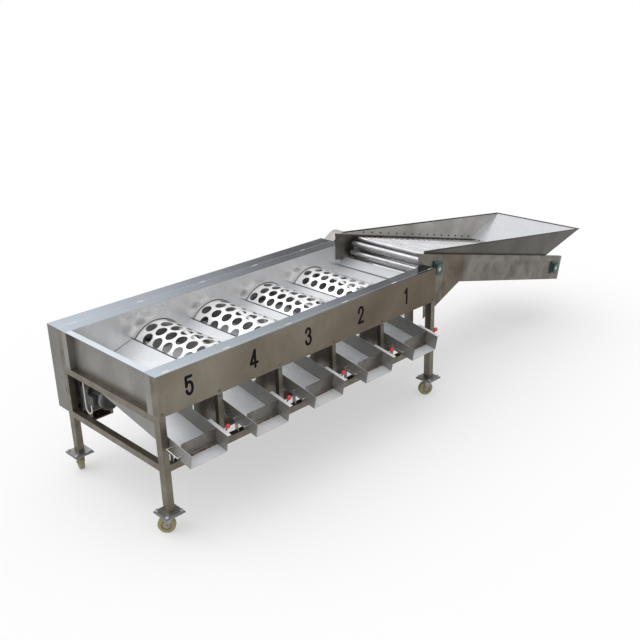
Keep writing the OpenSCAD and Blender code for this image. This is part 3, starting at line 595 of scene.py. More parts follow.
FINISHES: Sequence[Finish] = (
    # Panels, guard, end panels and walls: their tops carry the painted reflection.
    Finish("panel_steel", (0.245, 0.222, 0.182), (0.175, 0.153, 0.117), 0.75, (0.30, 0.50), Grain.ALONG_X,
           wave_bump=0.003, patch_scale=3.0, painted_light=LIP_REFLECTION_TONE,
           # Painted shade: the front panel darkens towards the feed end.
           fade=Fade(Axis.X, 150.0, 2200.0, (0.53, 0.46, 0.39))),
    Finish("guard_steel", (0.23, 0.222, 0.208), (0.17, 0.162, 0.15), 0.75, (0.30, 0.50), Grain.ALONG_X,
           wave_bump=0.003, patch_scale=3.0, painted_light=LIP_REFLECTION_TONE),
    Finish("end_steel", (0.29, 0.28, 0.26), (0.21, 0.20, 0.183), 0.75, (0.30, 0.50), Grain.ALONG_X,
           wave_bump=0.003, patch_scale=3.0, painted_light=END_LIP_REFLECTION_TONE),
    Finish("cover_steel", (0.40, 0.39, 0.37), (0.30, 0.29, 0.27), 0.75, (0.30, 0.50), Grain.ALONG_X,
           patch_scale=3.0),
    Finish("tube_steel", (0.20, 0.18, 0.142), (0.125, 0.107, 0.08), 0.75, (0.28, 0.46), Grain.ALONG_Z,
           patch_scale=9.0, dust=0.4),
    Finish("wall_steel", (0.80, 0.80, 0.805), (0.64, 0.638, 0.635), 0.80, (0.24, 0.42), Grain.ALONG_Z,
           wave_bump=0.004, wave_scale=5.0, patch_scale=3.0, painted_light=LIP_REFLECTION_TONE,
           # Painted shade: the inner walls darken below the height of the drums' axes.
           fade=Fade(Axis.Z, 700.0, 650.0, (0.20, 0.18, 0.155))),
    Finish("deck_steel", (0.70, 0.72, 0.745), (0.60, 0.615, 0.64), 0.60, (0.44, 0.60), Grain.ALONG_Y,
           wave_bump=0.001, patch_scale=5.0, fade=Fade(Axis.X, 600.0, 2300.0, (0.82, 0.82, 0.82))),
    # Chute sheet: its upright walls carry painted shade.
    Finish("chute_steel", (0.92, 0.94, 0.97), (0.78, 0.79, 0.82), 0.42, (0.26, 0.42), Grain.ALONG_Y,
           wave_bump=0.0004, patch_scale=5.0, painted_side_shade=(0.29, 0.28, 0.255)),
    Finish("drum_steel", (0.93, 0.93, 0.935), (0.80, 0.80, 0.81), 0.50, (0.14, 0.30), Grain.ALONG_Y,
           patch_scale=7.0, grain_mix=0.12),
    Finish("roller_steel", (0.56, 0.56, 0.58), (0.40, 0.40, 0.41), 0.90, (0.16, 0.30), Grain.ALONG_Y,
           patch_scale=7.0),
    Finish("side_steel", (0.20, 0.187, 0.165), (0.115, 0.104, 0.086), 0.75, (0.30, 0.52), Grain.ALONG_X,
           wave_bump=0.003, patch_scale=7.0, patch_span=(0.38, 0.68),
           fade=Fade(Axis.X, 2480.0, 2486.0, (0.78, 0.69, 0.58), (2732.0, 2742.0))),
    Finish("hopper_steel", (0.50, 0.49, 0.465), (0.335, 0.325, 0.30), 0.80, (0.26, 0.44), Grain.ALONG_X,
           # Painted shade: the hopper's front side is darker than its rear side.
           wave_bump=0.002, patch_scale=4.0, fade=Fade(Axis.Y, 600.0, 380.0, (0.22, 0.21, 0.195))),
    Finish("hopper_end_steel", (0.62, 0.63, 0.66), (0.50, 0.51, 0.53), 0.70, (0.26, 0.44), Grain.ALONG_Y,
           wave_bump=0.002, patch_scale=4.0),
    Finish("gate_steel", (0.22, 0.21, 0.195), (0.14, 0.125, 0.108), 0.75, (0.30, 0.50), Grain.ALONG_X,
           patch_scale=12.0),
    Finish("wire_steel", (0.60, 0.60, 0.59), (0.42, 0.41, 0.39), 0.90, (0.20, 0.34), patch_scale=20.0),
    Finish("zinc", (0.36, 0.37, 0.375), (0.22, 0.22, 0.215), 0.80, (0.28, 0.48), patch_scale=26.0, dust=0.4),
    Finish("nut_zinc", (0.55, 0.58, 0.60), (0.38, 0.40, 0.42), 0.85, (0.22, 0.38), patch_scale=60.0),
    Finish("shaft_steel", (0.46, 0.46, 0.46), (0.32, 0.32, 0.32), 0.90, (0.24, 0.40), patch_scale=14.0),
    Finish("chain_steel", (0.050, 0.048, 0.045), (0.022, 0.021, 0.020), 0.60, (0.35, 0.55), patch_scale=40.0),
    # Black of the painted gap shadows along the deck plates.
    Finish("gap_shadow_black", (0.022, 0.022, 0.023), (0.012, 0.012, 0.012), 0.0, (0.55, 0.75), patch_scale=20.0),
    Finish("bearing_paint", (0.020, 0.075, 0.056), (0.012, 0.042, 0.032), 0.0, (0.35, 0.50),
           patch_scale=18.0, coat=0.2),
    Finish("motor_paint", (0.060, 0.062, 0.064), (0.030, 0.031, 0.032), 0.0, (0.38, 0.56), patch_scale=14.0,
           dust=0.25),
    Finish("fan_paint", (0.25, 0.25, 0.245), (0.17, 0.17, 0.165), 0.20, (0.38, 0.56), patch_scale=14.0,
           dust=0.25, fade=Fade(Axis.Y, FAN_END + 22.0, FAN_END + 12.0, (0.24, 0.23, 0.21))),
    Finish("knob_plastic", (0.62, 0.018, 0.022), (0.48, 0.010, 0.014), 0.0, (0.14, 0.24), patch_scale=30.0,
           grain_bump=0.00001, coat=0.6),
    Finish("cable_sheath", (0.74, 0.74, 0.72), (0.58, 0.57, 0.54), 0.0, (0.45, 0.60), patch_scale=30.0),
    Finish("number_paint", (0.004, 0.004, 0.004), (0.010, 0.010, 0.009), 0.0, (0.70, 0.90), patch_scale=60.0,
           specular=0.08),
    # Bright weld tacks, and the painted highlights of the seams.
    Finish("weld_and_highlight_bright", (0.84, 0.85, 0.86), (0.60, 0.60, 0.60), 0.80, (0.20, 0.45), patch_scale=120.0),
    Finish("weld_rust", (0.21, 0.105, 0.055), (0.045, 0.03, 0.022), 0.15, (0.50, 0.80), patch_scale=45.0,
           grain_bump=0.0006),
    Finish("hem_steel", (0.060, 0.058, 0.055), (0.030, 0.028, 0.026), 0.60, (0.30, 0.48), Grain.ALONG_X,
           patch_scale=8.0),
)

DRUM_NAMES = [f"drum_{k + 1}" for k in range(LAYOUT.drums)]
CASTER_NAMES = ("fl", "rl", "fr", "rr")

NODE_FINISH: Dict[str, Sequence[str]] = {
    "panel_steel": ("front_panel",),
    "guard_steel": ("rear_panel", "drive_guard"),
    "cover_steel": ("feed_chain_cover",),
    "end_steel": ("end_panels",),
    "tube_steel": ("legs", "long_rails", "cross_rails", "tray_posts", "motor_mount"),
    "wall_steel": ("front_inner_wall", "rear_inner_wall"),
    "deck_steel": ("deck_plates",),
    "chute_steel": ("chutes",),
    "drum_steel": [name + "_shell" for name in DRUM_NAMES],
    "roller_steel": ("elevator_rollers",),
    "side_steel": ("elevator_sides", "elevator_ties"),
    "hopper_steel": ("hopper_sides",),
    "hopper_end_steel": ("hopper_end",),
    "gate_steel": [f"gate_{k + 1}" for k in range(LAYOUT.chutes)],
    "wire_steel": ("chute_loops",),
    "zinc": ["caster_plates", "chute_brackets"] + ["fork_" + name for name in CASTER_NAMES],
    "shaft_steel": [name + "_drive" for name in DRUM_NAMES] + ["head_shaft", "tail_shaft", "motor_output"],
    "chain_steel": ("elevator_chains", "drive_chains"),
    "bearing_paint": ("drum_bearings", "elevator_bearings"),
    "motor_paint": ("gearbox", "motor_body"),
    "fan_paint": ("fan_cover",),
    "knob_plastic": [f"knob_{k + 1}" for k in range(LAYOUT.chutes)],
}


class PaintShop:
    """Makes each finish once and gives it to the solids and pieces."""

    def __init__(self) -> None:
        """Builds the shared groups and all finishes."""
        self.effects = Effects()
        self.materials = {finish.name: finish.make(self.effects) for finish in FINISHES}

    @staticmethod
    def cover(node: str, material: bpy.types.Material) -> None:
        """Gives a solid a new material in place of its own.

        Args:
            node: Name of the solid.
            material: Its new material.
        """
        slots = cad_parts[node].data.materials
        slots.clear()
        slots.append(material)
        LOG.info("finish %s on %s", material.name, node)

    def dress_solids(self) -> None:
        """Gives every listed solid its finish."""
        for finish, nodes in NODE_FINISH.items():
            for node in nodes:
                self.cover(node, self.materials[finish])


def link_object(name: str, data: object) -> bpy.types.Object:
    """Makes an object in the scene.

    Args:
        name: Name of the object.
        data: Its mesh, curve, lamp or camera.

    Returns:
        The linked object.
    """
    obj = bpy.data.objects.new(name, data)
    bpy.context.scene.collection.objects.link(obj)
    return obj


def mesh_from(name: str, build: bmesh.types.BMesh) -> bpy.types.Mesh:
    """Turns a bmesh into a mesh with outward normals.

    Args:
        name: Name of the mesh.
        build: Geometry, which is freed.

    Returns:
        The new mesh.
    """
    bmesh.ops.recalc_face_normals(build, faces=build.faces)
    mesh = bpy.data.meshes.new(name)
    build.to_mesh(mesh)
    build.free()
    return mesh


def settle(obj: bpy.types.Object) -> None:
    """Lets a finished piece ride on the frame.

    Args:
        obj: The piece.
    """
    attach(obj, ROOT)
    LOG.info("piece %s rides on %s", obj.name, ROOT)


def loft(build: bmesh.types.BMesh, rings: Sequence[Sequence[Sequence[float]]]) -> None:
    """Adds a closed skin over a row of rings, with a flat face on the first and on the last.

    Args:
        build: Geometry to add to.
        rings: Points of each ring, as many in one as in the next.
    """
    made = [[build.verts.new(point) for point in ring] for ring in rings]
    for low, high in zip(made, made[1:]):
        for i in range(len(low)):
            j = (i + 1) % len(low)
            build.faces.new((low[i], low[j], high[j], high[i]))
    build.faces.new(made[0])
    build.faces.new(made[-1])


def lathe(build: bmesh.types.BMesh, profile: Sequence[Flat], sides: int) -> None:
    """Adds a closed turned form about Z.

    Args:
        build: Geometry to add to.
        profile: Radius and height of each ring, from the foot to the crown.
        sides: Number of sides.
    """
    angles = [2 * math.pi * i / sides for i in range(sides)]
    loft(build, [[(r * math.cos(a), r * math.sin(a), z) for a in angles] for r, z in profile])


def bow(centre: Flat, reach: Flat, start: float, end: float, steps: int) -> List[Flat]:
    """Lists points along part of an ellipse.

    Args:
        centre: Middle of the ellipse.
        reach: Half its width and half its height.
        start: Angle of the first point, in degrees.
        end: Angle of the last point.
        steps: Number of steps between them.

    Returns:
        The points in order.
    """
    angles = [math.radians(start + (end - start) * i / steps) for i in range(steps + 1)]
    return [(centre[0] + reach[0] * math.cos(a), centre[1] + reach[1] * math.sin(a)) for a in angles]


class ScatterTree:
    """Geometry Nodes tree that sets copies of one piece on points, turned and sized point by point."""

    INPUTS = {
        "Points": "NodeSocketGeometry",
        "Piece": "NodeSocketObject",
        "Finish": "NodeSocketMaterial",
        "Smallest": "NodeSocketFloat",
        "Seed": "NodeSocketInt",
    }

    def __init__(self, shop: PaintShop) -> None:
        """Builds the tree.

        Args:
            shop: Source of the finishes.
        """
        self.shop = shop
        self.tree = bpy.data.node_groups.new("set_on_points", "GeometryNodeTree")
        sides = self.tree.interface
        self.sockets = {
            label: sides.new_socket(label, in_out="INPUT", socket_type=kind).identifier
            for label, kind in self.INPUTS.items()
        }
        sides.new_socket("Copies", in_out="OUTPUT", socket_type="NodeSocketGeometry")
        wires = Wiring(self.tree)
        given = wires.node("NodeGroupInput").outputs
        points = wires.node("GeometryNodeMeshToPoints", {"Mesh": given["Points"]})
        piece = wires.node("GeometryNodeObjectInfo", {"Object": given["Piece"]})
        turn = wires.node("GeometryNodeInputNamedAttribute", {"Name": "turn"}, data_type="FLOAT_VECTOR")
        euler = wires.node("FunctionNodeEulerToRotation", {"Euler": turn.outputs["Attribute"]})
        size = wires.node("FunctionNodeRandomValue", {"Seed": given["Seed"]}, data_type="FLOAT")
        for socket, value in zip([s for s in size.inputs if s.type == "VALUE"], (given["Smallest"], 1.0)):
            wires.feed(socket, value)
        copies = wires.node("GeometryNodeInstanceOnPoints", {
            "Points": points.outputs["Points"],
            "Instance": piece.outputs["Geometry"],
            "Rotation": euler.outputs["Rotation"],
            "Scale": next(s for s in size.outputs if s.type == "VALUE"),
        })
        real = wires.node("GeometryNodeRealizeInstances", {"Geometry": copies.outputs["Instances"]})
        paint = wires.node(
            "GeometryNodeSetMaterial", {"Geometry": real.outputs["Geometry"], "Material": given["Finish"]}
        )
        wires.node("NodeGroupOutput", {"Copies": paint.outputs["Geometry"]})

    def spread(
        self,
        name: str,
        places: Sequence[Place],
        form: bpy.types.Mesh,
        finish: str,
        slot: str,
        smallest: float = 1.0,
        seed: int = 1,
    ) -> None:
        """Sets copies of a form and makes them one plain piece of the frame.

        Args:
            name: Name of the piece.
            places: Point and turn of each copy.
            form: Mesh to copy, with its foot at zero and facing +Z.
            finish: Name of the copies' finish.
            slot: Record's material slot; not used.
            smallest: Least share of full size.
            seed: Seed of the sizes.
        """
        points = bpy.data.meshes.new(name)
        points.from_pydata([p for p, _ in places], [], [])
        turns = points.attributes.new("turn", "FLOAT_VECTOR", "POINT")
        turns.data.foreach_set("vector", [v for _, t in places for v in t])
        obj = link_object(name, points)
        pattern = link_object(name + "_pattern", form)
        modifier = obj.modifiers.new("set_on_points", "NODES")
        modifier.node_group = self.tree
        paint = self.shop.materials[finish]
        inputs = {"Piece": pattern, "Finish": paint, "Smallest": smallest, "Seed": seed}
        for label, value in inputs.items():
            modifier[self.sockets[label]] = value
        bpy.context.view_layer.update()
        made = bpy.data.meshes.new_from_object(obj.evaluated_get(bpy.context.evaluated_depsgraph_get()))
        obj.modifiers.clear()
        obj.data = made
        bpy.data.objects.remove(pattern)
        settle(obj)


@dataclass
class Assembly:
    """Sub-assembly, with the shop that paints its pieces and the tree that sets copies."""

    shop: PaintShop
    scatter: ScatterTree

    def add(self, name: str, build: bmesh.types.BMesh, finish: str, slot: str) -> None:
        """Makes a piece of the frame.

        Args:
            name: Name of the piece.
            build: Its geometry.
            finish: Name of its finish.
            slot: Record's material slot; not used.
        """
        obj = link_object(name, mesh_from(name, build))
        obj.data.materials.append(self.shop.materials[finish])
        settle(obj)


@dataclass
class ScrewPattern:
    """Hexagon screw on a round washer, each with a bevelled rim."""

    head: float
    height: float
    washer: float
    washer_t: float = 1.6
    washer_bevel: Flat = (0.94, 0.7)
    washer_sides: int = 20
    head_bevel: Flat = (0.88, 0.86)
    head_sink: float = 0.9
    head_sides: int = 6

    def mesh(self) -> bpy.types.Mesh:
        """Builds the screw with its foot at zero.

        Returns:
            The screw's mesh.
        """
        build = bmesh.new()
        r, t = self.washer * MM, self.washer_t * MM
        rim, step = self.washer_bevel
        lathe(build, [(r, 0.0), (r, step * t), (rim * r, t)], self.washer_sides)
        h, top = self.head * MM, (self.washer_t + self.height) * MM
        rim, step = self.head_bevel
        lathe(build, [(h, self.head_sink * t), (h, step * top), (rim * h, top)], self.head_sides)
        return mesh_from("hexagon_screw", build)


@dataclass
class Numbers(Assembly):
    """Painted outlet numbers on the front panel, in round-ended strokes."""

    height: float = 100.0
    centre_z: float = 828.0
    stroke: float = 17.0
    paint_t: float = 0.3
    overlap: float = 0.03
    bow_steps: int = 18
    cap_steps: int = 8
    spots: Dict[str, Flat] = field(
        default_factory=lambda: {
            "5": (203.0, 40.0),
            "4": (650.0, 49.0),
            "3": (1073.0, 40.0),
            "2": (1530.0, 40.0),
            "1": (1966.0, 17.0),
        }
    )

    def strokes(self) -> Dict[str, List[List[Flat]]]:
        """Lists the centre lines of each number's strokes, in a box one wide and one high.

        Returns:
            The lines of each number.
        """
        n = self.bow_steps
        return {
            "1": [[(1.0, 0.0), (1.0, 1.0)], [(1.0, 1.0), (0.0, 0.78)]],
            "2": [bow((0.5, 0.73), (0.48, 0.27), 190.0, -35.0, n) + [(0.0, 0.0)], [(0.0, 0.0), (1.0, 0.0)]],
            "3": [
                bow((0.48, 0.77), (0.43, 0.23), 175.0, -90.0, n),
                bow((0.48, 0.27), (0.5, 0.27), 90.0, -175.0, n),
            ],
            "4": [[(0.66, 0.0), (0.66, 1.0)], [(0.66, 1.0), (0.0, 0.24)], [(0.0, 0.24), (1.0, 0.24)]],
            "5": [
                [(0.9, 1.0), (0.04, 1.0)],
                [(0.04, 1.0), (0.04, 0.47)],
                bow((0.5, 0.35), (0.5, 0.35), 158.0, -160.0, n),
            ],
        }

    def outline(self, line: Sequence[Vector]) -> List[Vector]:
        """Finds the edge of a stroke with round ends.

        Args:
            line: Points of the stroke's centre line, in millimetres.

        Returns:
            The closed edge.
        """
        half = self.stroke / 2
        ways = [(b - a).normalized() for a, b in zip(line, line[1:])]
        turns = [ways[0]] + [(a + b).normalized() for a, b in zip(ways, ways[1:])] + [ways[-1]]
        left = [p + Vector((-t.y, t.x)) * half for p, t in zip(line, turns)]
        right = [p - Vector((-t.y, t.x)) * half for p, t in zip(line, turns)]
        angles = [-math.pi * i / self.cap_steps for i in range(1, self.cap_steps)]
        caps = [
            [tip + Matrix.Rotation(a, 2) @ (rim - tip) for a in angles]
            for tip, rim in ((line[-1], left[-1]), (line[0], right[0]))
        ]
        return left + caps[0] + right[::-1] + caps[1]

    def build(self) -> None:
        """Paints every number."""
        lines = self.strokes()
        for digit, (x, width) in self.spots.items():
            build = bmesh.new()
            for i, line in enumerate(lines[digit]):
                edge = self.outline(
                    [Vector(((u - 0.5) * width, (v - 0.5) * self.height)) for u, v in line]
                )
                depths = (0.0, -self.paint_t - i * self.overlap)
                loft(build, [[LAYOUT.at(x + p.x, y, self.centre_z + p.y) for p in edge] for y in depths])
            self.add("outlet_number_" + digit, build, "number_paint", "black_rubber")


@dataclass
class Fasteners(Assembly):
    """Screws on the panel, the posts and the drive guard and along the foot of the hopper's rear side."""

    screw: ScrewPattern = field(default_factory=lambda: ScrewPattern(head=6.0, height=4.0, washer=8.0))
    post_gap: float = 80.0
    post_w: float = 30.0
    panel_inset: float = 22.0
    panel_drop: float = 16.0
    guard_rows: Flat = (427.0, 920.0)
    guard_x: Tuple[float, ...] = (24.0, 470.0, 916.0, 1362.0, 1808.0, 2256.0)
    row_from: float = 60.0
    row_step: float = 100.0
    row_count: int = 15
    row_up: float = 118.0
    row_y: float = 861.0

    def places(self) -> List[Place]:
        """Lists every screw's point and turn.

        Returns:
            The places.
        """
        found: List[Place] = []
        front, above = Side.FRONT.value, LAYOUT.panel_z + self.panel_drop
        for k in range(1, LAYOUT.chutes):
            x = LAYOUT.chute_x + k * LAYOUT.pitch - self.post_gap - self.post_w / 2
            found.append((LAYOUT.at(x, LAYOUT.sheet_t, LAYOUT.panel_z - self.panel_drop), front))
            found.append((LAYOUT.at(x, 0.0, above), front))
        for x in (self.panel_inset, LAYOUT.body_l - self.panel_inset):
            found.append((LAYOUT.at(x, 0.0, above), front))
        for z in self.guard_rows:
            found += [(LAYOUT.at(x, LAYOUT.guard_y, z), Side.BACK.value) for x in self.guard_x]
        leaning = (math.pi / 2 - math.radians(LAYOUT.hopper_lean), 0.0, 0.0)
        for i in range(self.row_count):
            along = self.row_from + i * self.row_step
            found.append((LAYOUT.on_elevator(along, self.row_y, self.row_up), leaning))
        return found

    def build(self) -> None:
        """Sets the screws."""
        self.scatter.spread("panel_screws", self.places(), self.screw.mesh(), "side_steel", "zinc_steel")


@dataclass
class FootPlates(Assembly):
    """Welded plate under each leg, screwed to the caster's own plate at its corners."""

    screw: ScrewPattern = field(default_factory=lambda: ScrewPattern(head=9.0, height=7.0, washer=11.0))
    width: float = 117.0
    thickness: float = 6.0
    chamfer: float = 1.2
    leg_w: float = 40.0
    leg_d: float = 50.0
    screw_off: float = 46.5

    def build(self) -> None:
        """Sets the plates and their screws."""
        low, high = measure("legs")
        build = bmesh.new()
        screws: List[Place] = []
        size = Matrix.Diagonal((self.width * MM, self.width * MM, self.thickness * MM, 1.0))
        for x in (low.x + self.leg_w / 2, high.x - self.leg_w / 2):
            for y in (low.y + self.leg_d / 2, high.y - self.leg_d / 2):
                centre = LAYOUT.at(x, y, low.z + self.thickness / 2)
                bmesh.ops.create_cube(build, size=1.0, matrix=Matrix.Translation(centre) @ size)
                for i in (-1, 1):
                    for j in (-1, 1):
                        off = Vector((i * self.screw_off, j * self.screw_off, self.thickness / 2)) * MM
                        screws.append((centre + off, Side.UP.value))
        bmesh.ops.bevel(build, geom=build.edges[:], offset=self.chamfer * MM, segments=1, affect="EDGES")
        self.add("leg_foot_plates", build, "zinc", "zinc_steel")
        self.scatter.spread("foot_plate_screws", screws, self.screw.mesh(), "nut_zinc", "zinc_steel")


@dataclass
class Welds(Assembly):
    """Tacks along the seams of the wall tops, bright beads on the seams as painted highlights, and rust at
    the foot of the gates and the deck.
    """

    drop_rings: Tuple[Flat, ...] = ((1.0, -0.4), (0.92, 0.35), (0.6, 0.8), (0.2, 1.0))
    drop_sides: int = 9
    tack_r: float = 6.5
    tack_h: float = 0.16
    tack_gap: float = 9.0
    tack_count: int = 5
    tack_least: float = 0.6
    front_tacks: Tuple[float, ...] = (60.0, 460.0, 920.0, 1390.0, 1850.0, 2220.0)
    rear_tacks: Tuple[float, ...] = (90.0, 560.0, 1040.0, 1500.0, 1960.0)
    seam_off: float = 0.5
    seam_w: float = 2.6
    seam_in: float = 6.0
    seam_step: float = 14.0
    seam_least: float = 0.5
    seam_wave: float = 2.4
    seam_crown: float = 0.4
    seam_rise: float = 0.3
    seam_sink: float = 0.2
    bead_step: float = 5.0
    rust_r: float = 6.5
    rust_h: float = 0.55
    rust_along: float = 82.0
    rust_in: float = 5.0
    rust_twists: Tuple[float, ...] = (0.0, 0.3, 0.6, 0.9, 1.2)
    rust_least: float = 0.55
    joint_r: float = 3.2
    joint_h: float = 0.5
    joint_from: float = 296.0
    joint_top: Flat = (431.4, 768.3)
    joint_off: float = 1.0
    joint_tilt: float = 45.0
    joint_twists: Tuple[float, ...] = (0.0, 0.4, 0.8, 1.2)
    joint_least: float = 0.4

    def drop(self, radius: float, height_share: float) -> bpy.types.Mesh:
        """Builds one flattened weld drop.

        Args:
            radius: Radius of its foot, in millimetres.
            height_share: Its height as a share of that.

        Returns:
            The drop's mesh.
        """
        build = bmesh.new()
        r, h = radius * MM, radius * height_share * MM
        lathe(build, [(share * r, up * h) for share, up in self.drop_rings], self.drop_sides)
        return mesh_from("weld_drop", build)

    def tacks(self) -> List[Place]:
        """Lists the tacks along both seams.

        Returns:
            The place of each tack.
        """
        found: List[Place] = []
        for y, starts in zip(self.seam_lines(), (self.front_tacks, self.rear_tacks)):
            for start in starts:
                for i in range(self.tack_count):
                    found.append((LAYOUT.at(start + i * self.tack_gap, y, LAYOUT.lip_z), Side.UP.value))
        return found

    def seam_lines(self) -> Flat:
        """Finds where the seam of each wall top lies."""
        return LAYOUT.flange + self.seam_off, LAYOUT.body_w - self.seam_off

    def seams(self) -> bmesh.types.BMesh:
        """Runs a thin uneven bright bead along the seam of each wall top, as a painted highlight of the seam.

        Returns:
            The geometry of both beads.
        """
        build = bmesh.new()
        count = round((LAYOUT.body_l - 2 * self.seam_in) / self.seam_step)
        swing = (1.0 - self.seam_least) / 2
        for y in self.seam_lines():
            rows = []
            for i in range(count + 1):
                half = self.seam_w / 2 * (self.seam_least + swing + swing * math.sin(self.seam_wave * i))
                crown, rise = self.seam_crown * half, self.seam_rise * half
                shape = ((-half, -self.seam_sink), (-crown, rise), (crown, rise), (half, -self.seam_sink))
                x = self.seam_in + i * self.seam_step
                rows.append([LAYOUT.at(x, y + v, LAYOUT.lip_z + h) for v, h in shape])
            loft(build, rows)
        return build

    def gate_rust(self) -> List[Place]:
        """Lists the spots of rust that gathers on each chute's floor along the foot of its gate.

        Returns:
            The place of each spot.
        """
        run = LAYOUT.chute_w - 2 * self.rust_in
        count = int(run / self.bead_step)
        lean = math.radians(LAYOUT.chute_slope)
        spots: List[Place] = []
        for k in range(LAYOUT.chutes):
            for i in range(count + 1):
                x = self.rust_in + run * i / count
                spot = LAYOUT.on_chute(k, x, self.rust_along, LAYOUT.sheet_t)
                spots.append((spot, (lean, 0.0, self.rust_twists[i % len(self.rust_twists)])))
        return spots

    def deck_joint(self) -> List[Place]:
        """Lists the drops of the heat-tinted bead where the first deck plate meets the rear wall.

        Returns:
            The place of each drop.
        """
        top_x, top_z = self.joint_top
        rise = math.tan(math.radians(LAYOUT.deck_slope))
        tilt = math.radians(self.joint_tilt)
        y = LAYOUT.body_w - LAYOUT.wall_w - self.joint_off
        bead: List[Place] = []
        for i in range(int((top_x - self.joint_from) / self.bead_step)):
            x = self.joint_from + i * self.bead_step
            spot = LAYOUT.at(x, y, top_z - (top_x - x) * rise + self.joint_off)
            bead.append((spot, (tilt, 0.0, self.joint_twists[i % len(self.joint_twists)])))
        return bead

    def build(self) -> None:
        """Sets the tacks and the painted seam highlights of the wall tops, the rust of the chutes and the
        joint of the deck.
        """
        spread = self.scatter.spread
        tack = self.drop(self.tack_r, self.tack_h)
        spread("seam_tacks", self.tacks(), tack, "weld_and_highlight_bright", "stainless_wall", self.tack_least, seed=3)
        # Painted highlight: a bright bead along each seam of the wall tops.
        self.add("wall_top_seams", self.seams(), "weld_and_highlight_bright", "stainless_wall")
        spot, rust = self.drop(self.rust_r, self.rust_h), self.gate_rust()
        spread("chute_rust_lines", rust, spot, "weld_rust", "chute_sheet", self.rust_least, seed=5)
        bead, joint = self.drop(self.joint_r, self.joint_h), self.deck_joint()
        spread("deck_joint_weld", joint, bead, "weld_rust", "stainless_wall", self.joint_least, seed=11)


@dataclass
class ElevatorLinks(Assembly):
    """Link plates of the two roller chains, on the outer face of each chain."""

    pitch: float = 68.0
    spaces: int = 24
    plate_h: float = 20.0
    plate_t: float = 1.6
    waist: float = 0.72
    end_steps: int = 8
    wheel_stop: float = 30.0

    def plate(self) -> bpy.types.Mesh:
        """Builds one waisted link plate along X, standing on zero.

        Returns:
            The plate's mesh.
        """
        build = bmesh.new()
        half, r = self.pitch / 2 * MM, self.plate_h / 2 * MM
        outline = bow((half, 0.0), (r, r), -90.0, 90.0, self.end_steps) + [(0.0, self.waist * r)]
        outline += bow((-half, 0.0), (r, r), 90.0, 270.0, self.end_steps) + [(0.0, -self.waist * r)]
        loft(build, [[(x, y, z) for x, y in outline] for z in (0.0, self.plate_t * MM)])
        return mesh_from("link_plate", build)

    def loop(self) -> List[Point]:
        """Lists the middle of each link in the elevator's frame, with its turn.

        Returns:
            Distance along, height and turn of each link.
        """
        r, far = self.pitch, self.pitch * self.spaces
        stops = [(i * self.pitch, r) for i in range(self.spaces + 1)]
        stops += bow((far, 0.0), (r, r), self.wheel_stop, -self.wheel_stop, 1)
        stops += [(far - i * self.pitch, -r) for i in range(self.spaces + 1)]
        stops += bow((0.0, 0.0), (r, r), 180.0 + self.wheel_stop, 180.0 - self.wheel_stop, 1)
        return [
            ((x0 + x1) / 2, (z0 + z1) / 2, math.atan2(z1 - z0, x1 - x0))
            for (x0, z0), (x1, z1) in zip(stops, stops[1:] + stops[:1])
        ]

    def build(self) -> None:
        """Sets the plates on both chains."""
        plates: List[Place] = []
        slope = math.radians(LAYOUT.feed_slope)
        for chain, side in zip(measure("elevator_chains"), (Side.FRONT, Side.BACK)):
            for x, z, turn in self.loop():
                spin = Matrix.Rotation(slope - turn, 4, "Y") @ Matrix.Rotation(side.value[0], 4, "X")
                plates.append((LAYOUT.on_elevator(x, chain.y, z), tuple(spin.to_euler())))
        self.scatter.spread("elevator_link_plates", plates, self.plate(), "chain_steel", "chain_steel")


@dataclass
class HopperHem(Assembly):
    """Rolled dark edge along the rim of the hopper."""

    radius: float = 5.5
    sides: int = 10
    side_top: float = 98.0
    near: float = 150.0
    near_h: float = 14.0
    far: float = 1902.0
    far_h: float = 236.0
    inset: float = 20.0

    def corners(self) -> List[Vector]:
        """Lists the rim's corners, from the front near end round to the rear near end.

        Returns:
            The four corners.
        """
        slope = math.tan(math.radians(LAYOUT.hopper_lean))
        front = LAYOUT.wall_w + self.inset + LAYOUT.sheet_t / 2
        rear = LAYOUT.body_w - front
        ends = ((-self.near, self.near_h), (self.far, self.far_h))
        line = [LAYOUT.on_elevator(x, front - h * slope, self.side_top + h) for x, h in ends]
        back = [LAYOUT.on_elevator(x, rear + h * slope, self.side_top + h) for x, h in reversed(ends)]
        return line + back

    def build(self) -> None:
        """Runs the hem along the rim."""
        build = bmesh.new()
        points, r = self.corners(), self.radius * MM
        for start, end in zip(points, points[1:]):
            line = end - start
            pipe = bmesh.ops.create_cone(
                build, cap_ends=True, segments=self.sides, radius1=r, radius2=r, depth=line.length
            )
            turn = Matrix.Translation((start + end) / 2) @ line.to_track_quat("Z", "Y").to_matrix().to_4x4()
            bmesh.ops.transform(build, matrix=turn, verts=pipe["verts"])
        for corner in points[1:3]:
            ball = bmesh.ops.create_icosphere(build, subdivisions=2, radius=r)
            bmesh.ops.transform(build, matrix=Matrix.Translation(corner), verts=ball["verts"])
        self.add("hopper_rim_hem", build, "hem_steel", "stainless_wall")


